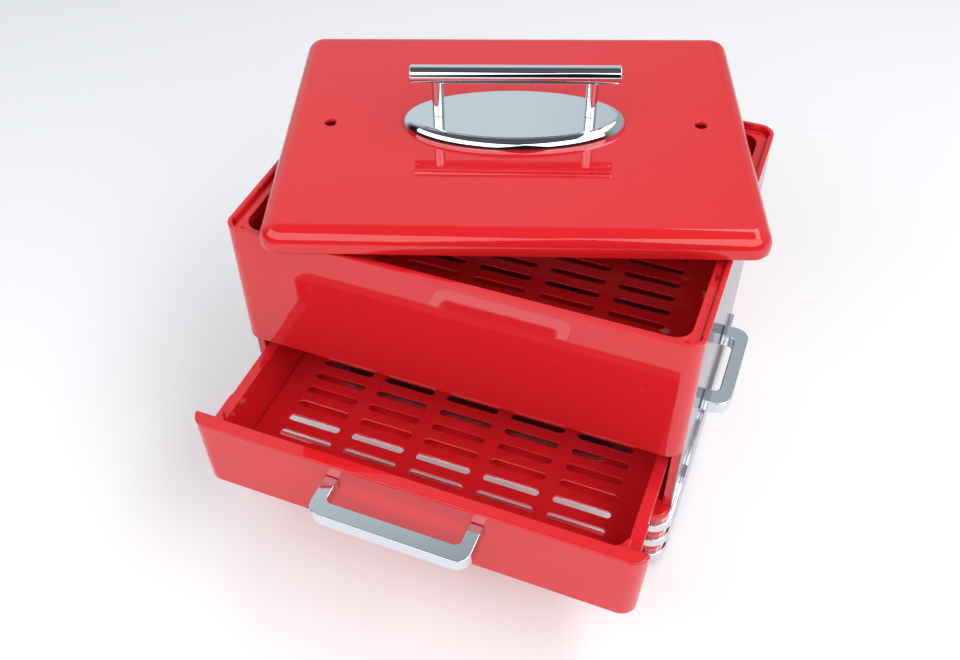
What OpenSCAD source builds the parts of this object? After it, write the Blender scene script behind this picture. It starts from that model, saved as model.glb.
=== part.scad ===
// Electric table-top steamer: a base with a water basin, a steaming drawer that slides on it,
// a lift-out upper tray and a loose lid. Front is -Y, the feet stand on z = 0.

/* [Cabinet] */
// Width of the cabinet across its two sides
body_w = 310; // [295:1:330]
// Depth of the cabinet from front to back
body_d = 229.4; // [226:0.2:245]
// Radius of the upright corners
corner_r = 11; // [10:0.5:13]
// Wall of the front and rear shells
shell_wall = 2.8; // [2.2:0.1:3.2]
// Height of the cabinet from the ground to its rim
body_h = 220; // [216:0.5:240]
// Clear height between the drawer front and the front shell
front_gap = 5.3; // [3:0.1:8]
// Skin of each side wall
side_skin = 2.2; // [1.8:0.1:2.6]
// Depth of the channel section of each side wall
wall_depth = 5.3; // [4.8:0.1:7]
// Thickness of each bright side panel
panel_t = 1.1; // [0.8:0.1:1.3]
// How far each side panel lies below the faces of the shells
panel_inset = 0.1; // [0:0.1:0.3]
// Height of the rim strip above each side panel
rim_strip = 3; // [2:0.1:3.8]

/* [Base] */
// Height of the rubber feet
foot_h = 4.5; // [3:0.5:8]
// Height of the base from its lower edge to the deck
base_h = 51.5; // [50:0.5:60]
// Wall of the base
base_wall = 3; // [2.5:0.1:4]
// Height of each trim band
band_h = 7.4; // [5:0.1:9]
// Spacing of the trim bands
band_pitch = 17.5; // [14:0.5:18]
// How far the bands stand proud of the base
band_proud = 2.6; // [1.5:0.1:4]
// Height of the lowest band above the lower edge of the base
band_low = 0.9; // [0.5:0.1:4]
// Width of the well in the deck
well_w = 216; // [180:1:230]
// Depth of the well in the deck, front to back
well_d = 150; // [120:1:170]
// Depth of the water basin below the deck
basin_h = 36; // [28:0.5:37]

/* [Drawer] */
// How far the drawer stands open at rest
drawer_open = 79.2; // [0:0.1:160]
// Full travel of the drawer
drawer_travel = 160; // [120:1:170]
// Height of the drawer front
drawer_front_h = 58.3; // [54:0.1:66]
// Draw-in of each end of the drawer front at its lower edge
drawer_taper = 2.5; // [0:0.1:5]
// Thickness of the drawer front seen from above
drawer_front_t = 9; // [8:0.1:12]
// Inside length of the drawer
drawer_len = 210; // [195:1:212]
// Wall of the drawer box
drawer_wall = 2.5; // [2:0.1:3]
// Width of the folded rim along the drawer sides
drawer_rim = 8; // [6.5:0.1:10]
// Drop from the top of the drawer front to the drawer sides
drawer_step = 12.8; // [8:0.1:16]

/* [Upper tray] */
// Drop from the rim to the tray ledge
ledge_drop = 4; // [3:0.1:6]
// Width of the tray ledge
ledge_w = 5.8; // [5:0.1:8]
// Inside depth of the tray above its grate
tray_depth = 77; // [50:1:78]
// Wall of the tray
tray_wall = 2.2; // [1.8:0.1:2.4]

/* [Lid] */
// Overhang of the lid at each side
lid_over = 2; // [1:0.1:3.5]
// Overhang of the lid at front and back
lid_over_ends = 3.6; // [2:0.1:4]
// Radius of the lid's upright corners
lid_r = 13.5; // [13:0.1:18]
// Height of the lid without its locating lip
lid_cap_h = 16; // [14:0.1:20]
// Rounding of the upper edge of the lid
lid_edge_r = 12; // [8:0.1:12.5]
// Thickness of the top of the lid
lid_wall = 2.6; // [2:0.1:4]
// Turn of the lid on the rim at rest, in degrees
lid_turn = 19.1; // [0:0.1:45]
// Sideways place of the lid at rest
lid_x = -9.1; // [-20:0.1:20]
// Front-to-back place of the lid at rest
lid_y = 31.2; // [-40:0.1:40]
// Distance of each vent hole from the middle of the lid
vent_x = 125; // [100:1:135]
// Diameter of the vent holes
vent_d = 8; // [5:0.1:10]

/* [Lid handle] */
// Length of the round bar
bar_len = 137.5; // [120:0.5:160]
// Diameter of the round bar
bar_d = 12; // [10:0.1:14]
// Height of the bar's axis above the top of the lid
bar_rise = 38; // [32:0.5:48]
// Distance of each post from the end of the bar
post_inset = 18; // [14:0.1:26]
// Diameter of each post
post_d = 8; // [6:0.1:9]
// Length of the oval plate
plate_len = 150; // [136:1:165]
// Width of the oval plate
plate_w = 67; // [52:1:80]
// Height of the oval plate, which is also the rounding of its edge
plate_h = 7.5; // [5:0.1:9]

/* [Bar handles] */
// Height of the flat bar of all three handles
grip_h = 10; // [8:0.1:12]
// Length of the drawer handle
drawer_grip_len = 109; // [90:1:130]
// Reach of the drawer handle in front of the drawer
drawer_grip_reach = 30; // [24:0.5:40]
// Width of the drawer handle's grip
drawer_grip_w = 12; // [8:0.1:14]
// Width of the drawer handle's legs
drawer_leg_w = 9.5; // [8:0.1:14]
// Drop from the top of the drawer front to the top of its handle
drawer_grip_drop = 10.8; // [8:0.1:20]
// Length of each side handle
side_grip_len = 78; // [65:1:95]
// Reach of each side handle
side_grip_reach = 19; // [17:0.5:26]
// Width of each side handle's grip
side_grip_w = 9.4; // [8:0.1:11]
// Width of each side handle's legs
side_leg_w = 12; // [9:0.1:14]
// Height of the side handles' upper face above the deck
side_grip_z = 40.5; // [30:0.5:41]

/* [Hidden] */

$fn = 64;
red = "#d9262d";
chrome = "#c8cdd1";
steel = "#b4b8bb";
black = "#26272a";
amber = "#e8862c";
white = "#e6e4de";
eps = 0.01;

half_w = body_w / 2;
half_d = body_d / 2;

// Levels from the feet up
deck_z = foot_h + base_h;
drawer_gap = 1;
drawer_z = deck_z + drawer_gap;
drawer_top = drawer_z + drawer_front_h;
front_z = drawer_top + front_gap;
rim_z = body_h;
upper_h = rim_z - front_z;
ledge_z = rim_z - ledge_drop;

// Side walls, from the outside in
wrap = corner_r;
side_half = half_d - wrap;
join_gap = 0.25;
panel_x = half_w - panel_inset;
skin_x = panel_x - panel_t;
skin_in = skin_x - side_skin;
channel_in = skin_x - wall_depth;
return_t = 2.5;
tab_h = 16;
tab_t = 2.2;
tab_reach = 14;
tab_root = 0.5;
tab_levels = [front_z + 0.25 * upper_h, front_z + 0.7 * upper_h];
tab_screw_y = side_half - 8;
screw_r = 1.9;
fit = 0.1;
head_r = 3.6;
head_h = 2;
tab_screw_r = 1.2;

// Upper tray
tray_gap = 0.5;
flange_t = 2.5;
flange_x = skin_in - tray_gap;
flange_y = half_d - shell_wall - tray_gap;
flange_r = corner_r - shell_wall - tray_gap;
tray_x = flange_x - ledge_w;
tray_y = flange_y - ledge_w;
tray_r = 11;
seat_gap = 0.2;
shelf_t = 2.3;
shelf_z = ledge_z - flange_t - seat_gap - shelf_t;
grate_t = 2;
grate_rim = 8;
grate_gap = 0.5;
grate_z = ledge_z - tray_depth - grate_t;
tray_floor_t = 2.5;
ledge_slot_w = 2.6;
ledge_slot_len = 7;
ledge_slot_in = 0.6;
ledge_slot_y = -0.45 * tray_y;
dimple_r = 1.6;
dimple_deep = 0.8;

// Drawer, with places given for the closed drawer
drawer_side_gap = 1.5;
drawer_x = channel_in - drawer_side_gap;
drawer_in_x = drawer_x - drawer_rim;
drawer_in_y = drawer_front_t - half_d;
drawer_in_r = 12;
drawer_side_top = drawer_top - drawer_step;
drawer_lip_t = 3;
drawer_skirt = 12;
runner_h = 3.5;
runner_in = 3;
run_gap = 0.3;
fence_t = 2.5;
fence_h = 6;
fence_gap = 0.7;
drawer_floor_z = deck_z + runner_h + run_gap;
drawer_floor_t = 2.5;
drawer_grate_z = drawer_floor_z + drawer_floor_t;
drawer_end_gap = 0.5;
drawer_return_y = -side_half - drawer_end_gap;
return_fore = 0.5;
horn_h = 12;
shoulder_w = 1;
shoulder_len = 33;
stop_z = drawer_side_top - 6.5;
stop_h = 6;
stop_len = 10;
stop_reach = 3;

// Base
well_r = 16;
well_gap = 0.5;
basin_wall = 2;
basin_flange = 8;
seal_t = 1;
basin_flange_t = 1.2;
basin_z = deck_z - basin_h;
cover_t = 2.5;
cover_gap = 0.3;
boss_r = 4.5;
boss_in_x = 30;
boss_in_y = 20;
boss_x = half_w - boss_in_x;
boss_y = half_d - boss_in_y;
foot_in_x = 30;
foot_in_y = 45;
foot_x = half_w - foot_in_x;
foot_y = half_d - foot_in_y;
foot_r = 9;
foot_stem_r = 3;
foot_edge = 2;
foot_barb = 1.2;
foot_barb_h = 3;
cover_screw_len = 14;
cover_slot_len = 26;
cover_slot_w = 4;
cover_slot_pitch = 16;
cover_slot_y = 60;
seal_in = 2;

// Heater and what belongs to it, under the basin
heater_r = 3.5;
heater_bend = 40;
heater_run = 55;
heater_end = 95;
heater_cold = 15;
heater_z = basin_z - heater_r - fit;
clamp_w = 14;
clamp_t = 2;
clamp_over = 8;
clamp_stud_r = 5;
thermostat_x = 45;
thermostat_r = 9;
thermostat_h = 5;
thermostat_cap_r = 6.5;
thermostat_cap_h = 3;
blade_w = 4;
blade_t = 0.8;
blade_pitch = 8;
fuse_x = 70;
fuse_r = 3;
fuse_len = 16;
fuse_lead_r = 0.8;
fuse_lead_len = 40;
terminal_w = 32;
terminal_d = 16;
terminal_h = 12;
terminal_in = 34;
terminal_pitch = 10;
terminal_bore = 2;
terminal_screw_r = 1.8;

// Back of the base
back_z = foot_h + base_h / 2;
service_x = half_w - corner_r - 3;
service_top = deck_z - base_wall;
clip_h = 24;
clip_t = 2;
clip_len = 10;
inlet_x = -70;
inlet_r = 7;
inlet_bore = 3.6;
inlet_flange = 2;
inlet_nut = 5;
inlet_nose = 4;
switch_x = 62;
switch_len = 20.8;
switch_tall = 12.6;
switch_deep = 16;
switch_bezel = 2;
rocker_len = 16.4;
rocker_tall = 9.8;
rocker_tilt = 8;
rocker_pin_r = 1.2;
rocker_crest = 4.2;
rocker_dip = 3.2;
rocker_root = 2.5;
rocker_slope = 1.5;
rocker_room = 1;
rocker_side_gap = 0.3;
rocker_well = 8;
pin_gap = 0.05;
pivot_in = 1.5;
lamp_x = 36;
lamp_r = 3.5;
lamp_deep = 12;
lamp_rim = 1.2;
lamp_nose = 2;

// Lid, with places given from the foot of its lip
lip_gap = 0.7;
lip_t = 2.5;
lid_w = body_w + 2 * lid_over;
lid_d = body_d + 2 * lid_over_ends;
lip_h = 2;
lid_top = lip_h + lid_cap_h;
lid_foot_r = 1.2;
lip_in = max(lid_over, lid_over_ends) + shell_wall + lip_gap;
bar_chamfer = 1;
bar_skin = 0.8;
post_pitch = bar_len - 2 * post_inset;

// Bar handles, and places shared by screws and what they hold
grip_out_r = 10;
grip_in_r = 4;
drawer_leg_x = drawer_grip_len / 2 - drawer_leg_w / 2;
drawer_grip_z = drawer_top - drawer_grip_drop - grip_h;
side_leg_y = side_grip_len / 2 - side_leg_w / 2;
side_bar_z = deck_z + side_grip_z - grip_h;
front_screw_in = 40;
front_screw_x = half_w - front_screw_in;
front_screw_low = 14;
front_screw_pitch = 24;
front_screw_z = [drawer_z + front_screw_low, drawer_z + front_screw_low + front_screw_pitch];
front_boss_r = 4;
grip_boss_r = 4.5;
side_screw_in = 7;
grip_screw_in = 11;
post_screw_in = 11;
screw_room = 1;
tongue_len = 30;

// Outlines and sweeps

module rounded(w, d, r) {
    square([w - 2 * r, d], center = true);
    square([w, d - 2 * r], center = true);
    for (x = [-1, 1], y = [-1, 1]) translate([x * (w / 2 - r), y * (d / 2 - r)]) circle(r);
}

// Carries a section, drawn outwards from the corner axis, round a rounded rectangle
module carry_round(w, d, r) {
    for (mx = [0, 1]) mirror([mx, 0, 0]) {
        for (my = [0, 1]) mirror([0, my, 0])
            translate([w / 2 - r, d / 2 - r, 0]) rotate_extrude(angle = 90) children();
        translate([w / 2 - r, d / 2 - r, 0]) rotate([90, 0, 0]) linear_extrude(d - 2 * r) children();
    }
    for (my = [0, 1]) mirror([0, my, 0])
        translate([r - w / 2, d / 2 - r, 0]) rotate([90, 0, 90]) linear_extrude(w - 2 * r) children();
}

module slot(len, wid) {
    square([len - wid, wid], center = true);
    for (x = [-1, 1]) translate([x * (len - wid) / 2, 0]) circle(wid / 2);
}

// Plate with rows of steam slots, inside a plain margin
module slotted_plate(w, d, r, t) {
    margin = 16;
    slot_len = 40;
    slot_w = 6;
    slot_gap = 10;
    pitch_x = slot_len + slot_gap;
    pitch_y = 2.4 * slot_w;
    across = floor((w - 2 * margin + slot_gap) / pitch_x);
    along = floor((d - 2 * margin) / pitch_y);
    linear_extrude(t) difference() {
        rounded(w, d, r);
        for (i = [0 : across - 1], j = [0 : along - 1])
            translate([(i - (across - 1) / 2) * pitch_x, (j - (along - 1) / 2) * pitch_y])
                slot(slot_len, slot_w);
    }
}

// What a rounding of radius r takes off a square corner, from the rounding's centre outwards
module corner_cut(r) difference() {
    square(r + eps);
    circle(r);
}

// Rectangle from y = 0 forwards, with its two front corners rounded
module soft_front(len, reach, r) difference() {
    translate([-len / 2, -reach]) square([len, reach]);
    for (mx = [0, 1]) mirror([mx, 0]) translate([len / 2 - r, r - reach]) mirror([0, 1]) corner_cut(r);
}

// Flat-bar U handle, seen from above: its legs point back to y = 0
module bar_handle(len, reach, grip_w, leg_w, h) linear_extrude(h) difference() {
    soft_front(len, reach, grip_out_r);
    translate([0, eps]) soft_front(len - 2 * leg_w, reach - grip_w + eps, grip_in_r);
}

// Pan-head screw along +Z, with its head below z = 0
module screw(len) {
    translate([0, 0, -head_h]) cylinder(r = head_r, h = head_h);
    translate([0, 0, -eps]) cylinder(r = screw_r, h = len + eps);
}

module screw_hole(len) {
    translate([0, 0, -eps]) cylinder(r = screw_r + fit, h = len + 2 * eps);
}

// Base

module base_screw_spots() {
    for (x = [-1, 1], y = [-1, 1]) translate([x * boss_x, y * boss_y, foot_h]) children();
}

module foot_spots() {
    for (x = [-1, 1], y = [-1, 1]) translate([x * foot_x, y * foot_y, 0]) children();
}

module base_pan() color(red) difference() {
    union() {
        difference() {
            translate([0, 0, foot_h]) linear_extrude(base_h) rounded(body_w, body_d, corner_r);
            translate([0, 0, foot_h - 1]) linear_extrude(base_h - base_wall + 1)
                rounded(body_w - 2 * base_wall, body_d - 2 * base_wall, corner_r - base_wall);
        }
        base_screw_spots() translate([0, 0, cover_t])
            cylinder(r = boss_r, h = base_h - cover_t - base_wall / 2);
    }
    translate([0, 0, deck_z - base_wall - 1]) linear_extrude(base_wall + 2) rounded(well_w, well_d, well_r);
    base_screw_spots() translate([0, 0, cover_t]) screw_hole(cover_screw_len - cover_t + screw_room);
    wall_tongues(join_gap);
    translate([-service_x, half_d - base_wall - 1, foot_h - 1])
        cube([2 * service_x, base_wall + 2, service_top - foot_h + 1]);
}

// Service panel that closes the back of the base, with a clip behind the base's wall at each end
module back_panel() color(red) difference() {
    union() {
        translate([join_gap - service_x, half_d - base_wall, foot_h])
            cube([2 * (service_x - join_gap), base_wall, service_top - foot_h - join_gap]);
        for (mx = [0, 1]) mirror([mx, 0, 0])
            translate([half_w - corner_r - clip_len, half_d - base_wall - clip_t, back_z - clip_h / 2]) {
                cube([clip_len, clip_t, clip_h]);
                cube([clip_len / 2, clip_t + eps, clip_h]);
            }
    }
    translate([inlet_x, half_d + 1, back_z]) rotate([90, 0, 0])
        cylinder(r = inlet_r + fit, h = base_wall + 2);
    translate([lamp_x, half_d + 1, back_z]) rotate([90, 0, 0])
        cylinder(r = lamp_r + fit, h = base_wall + 2);
    translate([switch_x, half_d, back_z])
        cube([switch_len + 2 * fit, 3 * base_wall, switch_tall + 2 * fit], center = true);
}

// Open trim band: front and both sides, ending at the rear corners
module band(level) color(chrome) translate([0, 0, foot_h + band_low + level * band_pitch])
linear_extrude(band_h) intersection() {
    difference() {
        rounded(body_w + 2 * band_proud, body_d + 2 * band_proud, corner_r + band_proud);
        rounded(body_w + 2 * fit, body_d + 2 * fit, corner_r + fit);
    }
    translate([0, side_half - body_d]) square([2 * body_w, 2 * body_d], center = true);
}

module upper_band() band(2);
module middle_band() band(1);
module lower_band() band(0);

module bottom_cover() color(black) difference() {
    translate([0, 0, foot_h]) linear_extrude(cover_t) difference() {
        rounded(body_w - 2 * (base_wall + cover_gap), body_d - 2 * (base_wall + cover_gap),
            corner_r - base_wall - cover_gap);
        for (y = [-1, 1], i = [-4 : 4]) translate([i * cover_slot_pitch, y * cover_slot_y]) rotate(90)
            slot(cover_slot_len, cover_slot_w);
    }
    base_screw_spots() screw_hole(cover_t);
    foot_spots() translate([0, 0, foot_h - eps]) cylinder(r = foot_stem_r + fit, h = cover_t + 2 * eps);
}

module feet() color(black) foot_spots() rotate_extrude()
    polygon([[0, 0], [foot_r - foot_edge, 0], [foot_r, foot_edge], [foot_r, foot_h], [foot_stem_r, foot_h],
        [foot_stem_r, foot_h + cover_t], [foot_stem_r + foot_barb, foot_h + cover_t],
        [foot_stem_r - foot_barb / 2, foot_h + cover_t + foot_barb_h],
        [0, foot_h + cover_t + foot_barb_h]]);

module cover_screws() color(steel) base_screw_spots() screw(cover_screw_len);

module water_reservoir() color(steel) difference() {
    union() {
        translate([0, 0, basin_z]) linear_extrude(basin_h + seal_t)
            rounded(well_w - 2 * well_gap, well_d - 2 * well_gap, well_r - well_gap);
        translate([0, 0, deck_z + seal_t]) linear_extrude(basin_flange_t)
            rounded(well_w + 2 * basin_flange, well_d + 2 * basin_flange, well_r + basin_flange);
    }
    translate([0, 0, basin_z + basin_wall]) linear_extrude(basin_h + 2 * seal_t + basin_flange_t)
        rounded(well_w - 2 * (well_gap + basin_wall), well_d - 2 * (well_gap + basin_wall),
            well_r - well_gap - basin_wall);
}

module reservoir_seal() color(black) translate([0, 0, deck_z]) linear_extrude(seal_t) difference() {
    rounded(well_w + 2 * (basin_flange - seal_in), well_d + 2 * (basin_flange - seal_in),
        well_r + basin_flange - seal_in);
    rounded(well_w, well_d, well_r);
}

// Hairpin of sheathed tube under the basin, with its two cold ends to the right
module heating_element() color(steel) translate([0, 0, heater_z]) {
    translate([-heater_run, 0, 0]) rotate(90) rotate_extrude(angle = 180)
        translate([heater_bend, 0]) circle(heater_r);
    for (y = [-1, 1]) translate([0, y * heater_bend, 0]) rotate([0, 90, 0]) {
        translate([0, 0, -heater_run]) cylinder(r = heater_r, h = heater_run + heater_end - heater_cold);
        translate([0, 0, heater_end - heater_cold - eps]) cylinder(r = heater_r / 2, h = heater_cold);
    }
}

// Bar that holds both runs of the heater up, on a stud under the basin
module heater_clamp() color(steel) {
    bar_z = heater_z - heater_r - fit;
    translate([-clamp_w / 2, -heater_bend - clamp_over, bar_z - clamp_t])
        cube([clamp_w, 2 * (heater_bend + clamp_over), clamp_t]);
    translate([0, 0, bar_z - eps]) cylinder(r = clamp_stud_r, h = basin_z - bar_z + eps);
}

// Disc thermostat against the basin, with its cap and two blades below it
module thermostat() color(steel) translate([thermostat_x, 0, basin_z - thermostat_h]) {
    cylinder(r = thermostat_r, h = thermostat_h);
    translate([0, 0, -thermostat_cap_h]) cylinder(r = thermostat_cap_r, h = thermostat_cap_h + eps);
    for (y = [-1, 1]) translate([-blade_w / 2, (y * blade_pitch - blade_t) / 2, -2 * thermostat_cap_h])
        cube([blade_w, blade_t, thermostat_cap_h + eps]);
}

module thermal_fuse() color(white) translate([fuse_x, 0, basin_z - fuse_r - fit]) rotate([90, 0, 0]) {
    cylinder(r = fuse_r, h = fuse_len, center = true);
    cylinder(r = fuse_lead_r, h = fuse_lead_len, center = true);
}

module terminal_block() color(white)
translate([inlet_x, half_d - terminal_in, foot_h + cover_t]) difference() {
    translate([-terminal_w / 2, -terminal_d / 2, 0]) cube([terminal_w, terminal_d, terminal_h]);
    for (i = [-1 : 1]) translate([i * terminal_pitch, 0, terminal_h / 2]) {
        rotate([90, 0, 0]) cylinder(r = terminal_bore, h = terminal_d + 2, center = true);
        cylinder(r = terminal_screw_r, h = terminal_h);
    }
}

// Bush for a mains lead in the back wall, clamped by its inner flange
module cord_inlet() color(black) translate([inlet_x, half_d, back_z]) rotate([-90, 0, 0]) rotate_extrude()
    polygon([[inlet_bore, -base_wall - inlet_nut], [inlet_r + inlet_flange, -base_wall - inlet_nut],
        [inlet_r + inlet_flange, -base_wall], [inlet_r, -base_wall], [inlet_r, 0],
        [inlet_r + inlet_flange, 0], [inlet_r + inlet_flange, inlet_nose / 2], [inlet_r, inlet_nose],
        [inlet_bore, inlet_nose]]);

module rocker_pivot() {
    translate([switch_x, half_d - pivot_in, back_z]) children();
}

module switch_housing() color(black) difference() {
    translate([switch_x, half_d, back_z]) difference() {
        union() {
            translate([-switch_len / 2, -switch_deep, -switch_tall / 2])
                cube([switch_len, switch_deep + switch_bezel / 2, switch_tall]);
            rotate([-90, 0, 0]) linear_extrude(switch_bezel)
                rounded(switch_len + 2 * switch_bezel, switch_tall + 2 * switch_bezel, switch_bezel);
        }
        translate([-rocker_len / 2 - rocker_room, -rocker_well, -rocker_tall / 2 - rocker_side_gap])
            cube([rocker_len + 2 * rocker_room, 2 * rocker_well, rocker_tall + 2 * rocker_side_gap]);
    }
    rocker_pivot() cylinder(r = rocker_pin_r + pin_gap, h = switch_tall + 1, center = true);
}

module power_rocker() color(black) rocker_pivot() rotate(-rocker_tilt) {
    linear_extrude(rocker_tall, center = true)
        polygon([[-rocker_len / 2, rocker_crest], [-rocker_len / 4, rocker_dip],
            [rocker_len / 4, rocker_dip], [rocker_len / 2, rocker_crest],
            [rocker_len / 2 - rocker_slope, -rocker_root],
            [rocker_slope - rocker_len / 2, -rocker_root]]);
    cylinder(r = rocker_pin_r, h = switch_tall - 2 * rocker_side_gap, center = true);
}

module indicator_lamp() color(amber) translate([lamp_x, half_d, back_z]) rotate([-90, 0, 0]) {
    translate([0, 0, -lamp_deep]) cylinder(r = lamp_r, h = lamp_deep + eps);
    cylinder(r = lamp_r + lamp_rim, h = lamp_nose / 2);
    translate([0, 0, lamp_nose / 2 - eps]) cylinder(r1 = lamp_r, r2 = lamp_r - lamp_rim, h = lamp_nose);
}

// Guide on the deck: a strip that carries the drawer and a fence beside it
module runner(side) color(red) {
    front_y = -side_half - return_fore;
    len = side_half - return_t - run_gap - front_y;
    translate([0, front_y, deck_z]) mirror([side < 0 ? 1 : 0, 0, 0]) {
        translate([drawer_in_x - runner_in, 0, 0])
            cube([channel_in - seat_gap - drawer_in_x + runner_in, len, runner_h]);
        translate([drawer_in_x + drawer_wall + fence_gap, 0, runner_h - eps]) cube([fence_t, len, fence_h]);
    }
}

module left_runner() runner(-1);
module right_runner() runner(1);

// Cabinet

// Tongues under the side walls, and with room the slots for them in the deck
module wall_tongues(room) {
    for (x = [-1, 1], y = [-1, 1])
        translate([x * (skin_in + side_skin / 2), y * side_half / 2, deck_z - base_wall / 2 + eps])
            cube([side_skin + 2 * room, tongue_len + 2 * room, base_wall + 4 * eps], center = true);
}

module right_wall() {
    difference() {
        union() {
            translate([skin_in, -side_half, deck_z])
                cube([side_skin, 2 * side_half, rim_z - rim_strip - deck_z]);
            translate([half_w - shell_wall, -side_half, rim_z - rim_strip])
                cube([shell_wall, 2 * side_half, rim_strip]);
            for (y = [-side_half, side_half - return_t])
                translate([channel_in, y, deck_z]) cube([wall_depth, return_t, shelf_z - deck_z + eps]);
            translate([channel_in, -side_half - return_fore, deck_z])
                cube([skin_in - fit - channel_in, return_fore + eps, front_z - run_gap - deck_z]);
            translate([tray_x + tray_wall + tray_gap, -side_half, shelf_z])
                cube([skin_in - tray_x - tray_wall - tray_gap + eps, 2 * side_half, shelf_t]);
        }
        for (z = tab_levels, y = [-side_half, side_half]) {
            translate([skin_in - tab_t / 2 - eps, y, z])
                cube([tab_t + 1, 3 * return_t, tab_h + 1], center = true);
            translate([skin_in, sign(y) * tab_screw_y, z]) rotate([0, 90, 0])
                cylinder(r = tab_screw_r + fit, h = 3 * side_skin, center = true);
        }
        for (y = [-1, 1]) translate([skin_in, y * side_leg_y, side_bar_z + grip_h / 2]) rotate([0, 90, 0])
            screw_hole(side_skin);
    }
    intersection() {
        wall_tongues(0);
        translate([0, -half_d, 0]) cube([body_w, body_d, body_d]);
    }
}

module right_side_wall() color(red) right_wall();
module left_side_wall() color(red) mirror([1, 0, 0]) right_wall();

module right_panel() difference() {
    translate([skin_x, -side_half + join_gap, deck_z + join_gap])
        cube([panel_t, 2 * (side_half - join_gap), rim_z - rim_strip - deck_z - 2 * join_gap]);
    for (y = [-1, 1]) translate([skin_x, y * side_leg_y, side_bar_z + grip_h / 2]) rotate([0, 90, 0])
        screw_hole(panel_t);
}

module right_side_panel() color(chrome) right_panel();
module left_side_panel() color(chrome) mirror([1, 0, 0]) right_panel();

module right_handle() difference() {
    translate([panel_x, 0, side_bar_z]) rotate(90)
        bar_handle(side_grip_len, side_grip_reach, side_grip_w, side_leg_w, grip_h);
    for (y = [-1, 1]) translate([panel_x, y * side_leg_y, side_bar_z + grip_h / 2]) rotate([0, 90, 0])
        screw_hole(side_screw_in + screw_room);
}

module right_side_handle() color(chrome) right_handle();
module left_side_handle() color(chrome) mirror([1, 0, 0]) right_handle();

module side_handle_screws() color(steel) for (x = [0, 1], y = [-1, 1]) mirror([x, 0, 0])
    translate([skin_in, y * side_leg_y, side_bar_z + grip_h / 2]) rotate([0, 90, 0])
        screw(side_skin + panel_t + side_screw_in);

// Front or rear moulding: a wall wrapped round two corners, with tabs that reach inside the side walls
module wrap_shell(bottom) {
    translate([0, 0, bottom]) linear_extrude(rim_z - bottom) intersection() {
        difference() {
            rounded(body_w, body_d, corner_r);
            rounded(body_w - 2 * shell_wall, body_d - 2 * shell_wall, corner_r - shell_wall);
        }
        translate([0, -body_d - side_half - join_gap]) square([2 * body_w, 2 * body_d], center = true);
    }
    for (mx = [0, 1], z = tab_levels) mirror([mx, 0, 0]) difference() {
        union() {
            translate([skin_in - tab_t - fit, -half_d + corner_r / 2, z - tab_h / 2])
                cube([tab_t, wrap - corner_r / 2 + tab_reach, tab_h]);
            translate([skin_in - tab_t - fit, -half_d + corner_r / 2, z - tab_h / 2])
                cube([half_w - shell_wall - skin_in + tab_t + fit + tab_root,
                    wrap - corner_r / 2 - join_gap, tab_h]);
        }
        translate([skin_in - tab_t, -tab_screw_y, z]) rotate([0, 90, 0])
            cylinder(r = tab_screw_r + fit, h = 4 * tab_t, center = true);
    }
}

module front_shell() color(red) wrap_shell(front_z);
module rear_shell() color(red) mirror([0, 1, 0]) wrap_shell(deck_z);

// Screws that hold the tabs to the side walls, under the bright panels
module shell_screws() color(steel)
    for (x = [0, 1], y = [-1, 1], z = tab_levels) mirror([x, 0, 0])
        translate([skin_x, y * tab_screw_y, z]) rotate([0, -90, 0])
            cylinder(r = tab_screw_r, h = side_skin + tab_t + screw_room);

// Drawer

module at_drawer() {
    translate([0, -drawer_open, 0]) children();
}

// Plan of the drawer's hollow
module drawer_hollow() {
    translate([0, drawer_in_y + drawer_len / 2]) rounded(2 * drawer_in_x, drawer_len, drawer_in_r);
}

// Box with a front wall, sides folded outwards into a rim, and a ledge round its floor for the grate
module drawer_box() color(red) at_drawer() difference() {
    union() {
        translate([-drawer_in_x - drawer_wall, drawer_in_y - drawer_wall, drawer_floor_z])
            cube([2 * (drawer_in_x + drawer_wall), drawer_len + 2 * drawer_wall,
                drawer_side_top - drawer_floor_z]);
        for (mx = [0, 1]) mirror([mx, 0, 0]) {
            translate([drawer_in_x, drawer_in_y - drawer_wall, drawer_side_top - drawer_wall])
                cube([drawer_rim, drawer_len + 2 * drawer_wall, drawer_wall]);
            translate([drawer_x - drawer_wall, drawer_in_y - drawer_wall, drawer_side_top - drawer_skirt])
                cube([drawer_wall, drawer_len + 2 * drawer_wall, drawer_skirt]);
            translate([drawer_x - eps, drawer_in_y - drawer_wall, drawer_side_top - drawer_wall])
                cube([shoulder_w, shoulder_len, drawer_wall]);
            translate([drawer_x - eps, return_t - side_half + drawer_travel + run_gap, stop_z])
                cube([stop_reach, stop_len, stop_h]);
        }
        translate([-drawer_in_x - drawer_wall, drawer_in_y - drawer_wall, drawer_side_top - eps])
            cube([2 * (drawer_in_x + drawer_wall), drawer_in_r, drawer_step - drawer_lip_t + eps]);
    }
    translate([0, 0, drawer_grate_z]) linear_extrude(drawer_front_h) drawer_hollow();
    translate([0, drawer_in_y + drawer_len / 2, drawer_floor_z - 1]) linear_extrude(drawer_front_h)
        rounded(2 * (drawer_in_x - grate_rim), drawer_len - 2 * grate_rim, drawer_in_r - grate_rim / 2);
    drawer_screw_spots() screw_hole(drawer_wall);
    drawer_handle_spots() screw_hole(drawer_wall);
}

module drawer_grate() color(red) at_drawer()
    translate([0, drawer_in_y + drawer_len / 2, drawer_grate_z])
        slotted_plate(2 * (drawer_in_x - grate_gap), drawer_len - 2 * grate_gap,
            drawer_in_r - grate_gap, grate_t);

// Places of the screws through the front wall of the box, each pointing forwards
module drawer_screw_spots() {
    for (x = [-1, 1], z = front_screw_z) translate([x * front_screw_x, drawer_in_y, z])
        rotate([90, 0, 0]) children();
}

module drawer_handle_spots() {
    for (x = [-1, 1]) translate([x * drawer_leg_x, drawer_in_y, drawer_grip_z + grip_h / 2])
        rotate([90, 0, 0]) children();
}

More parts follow.
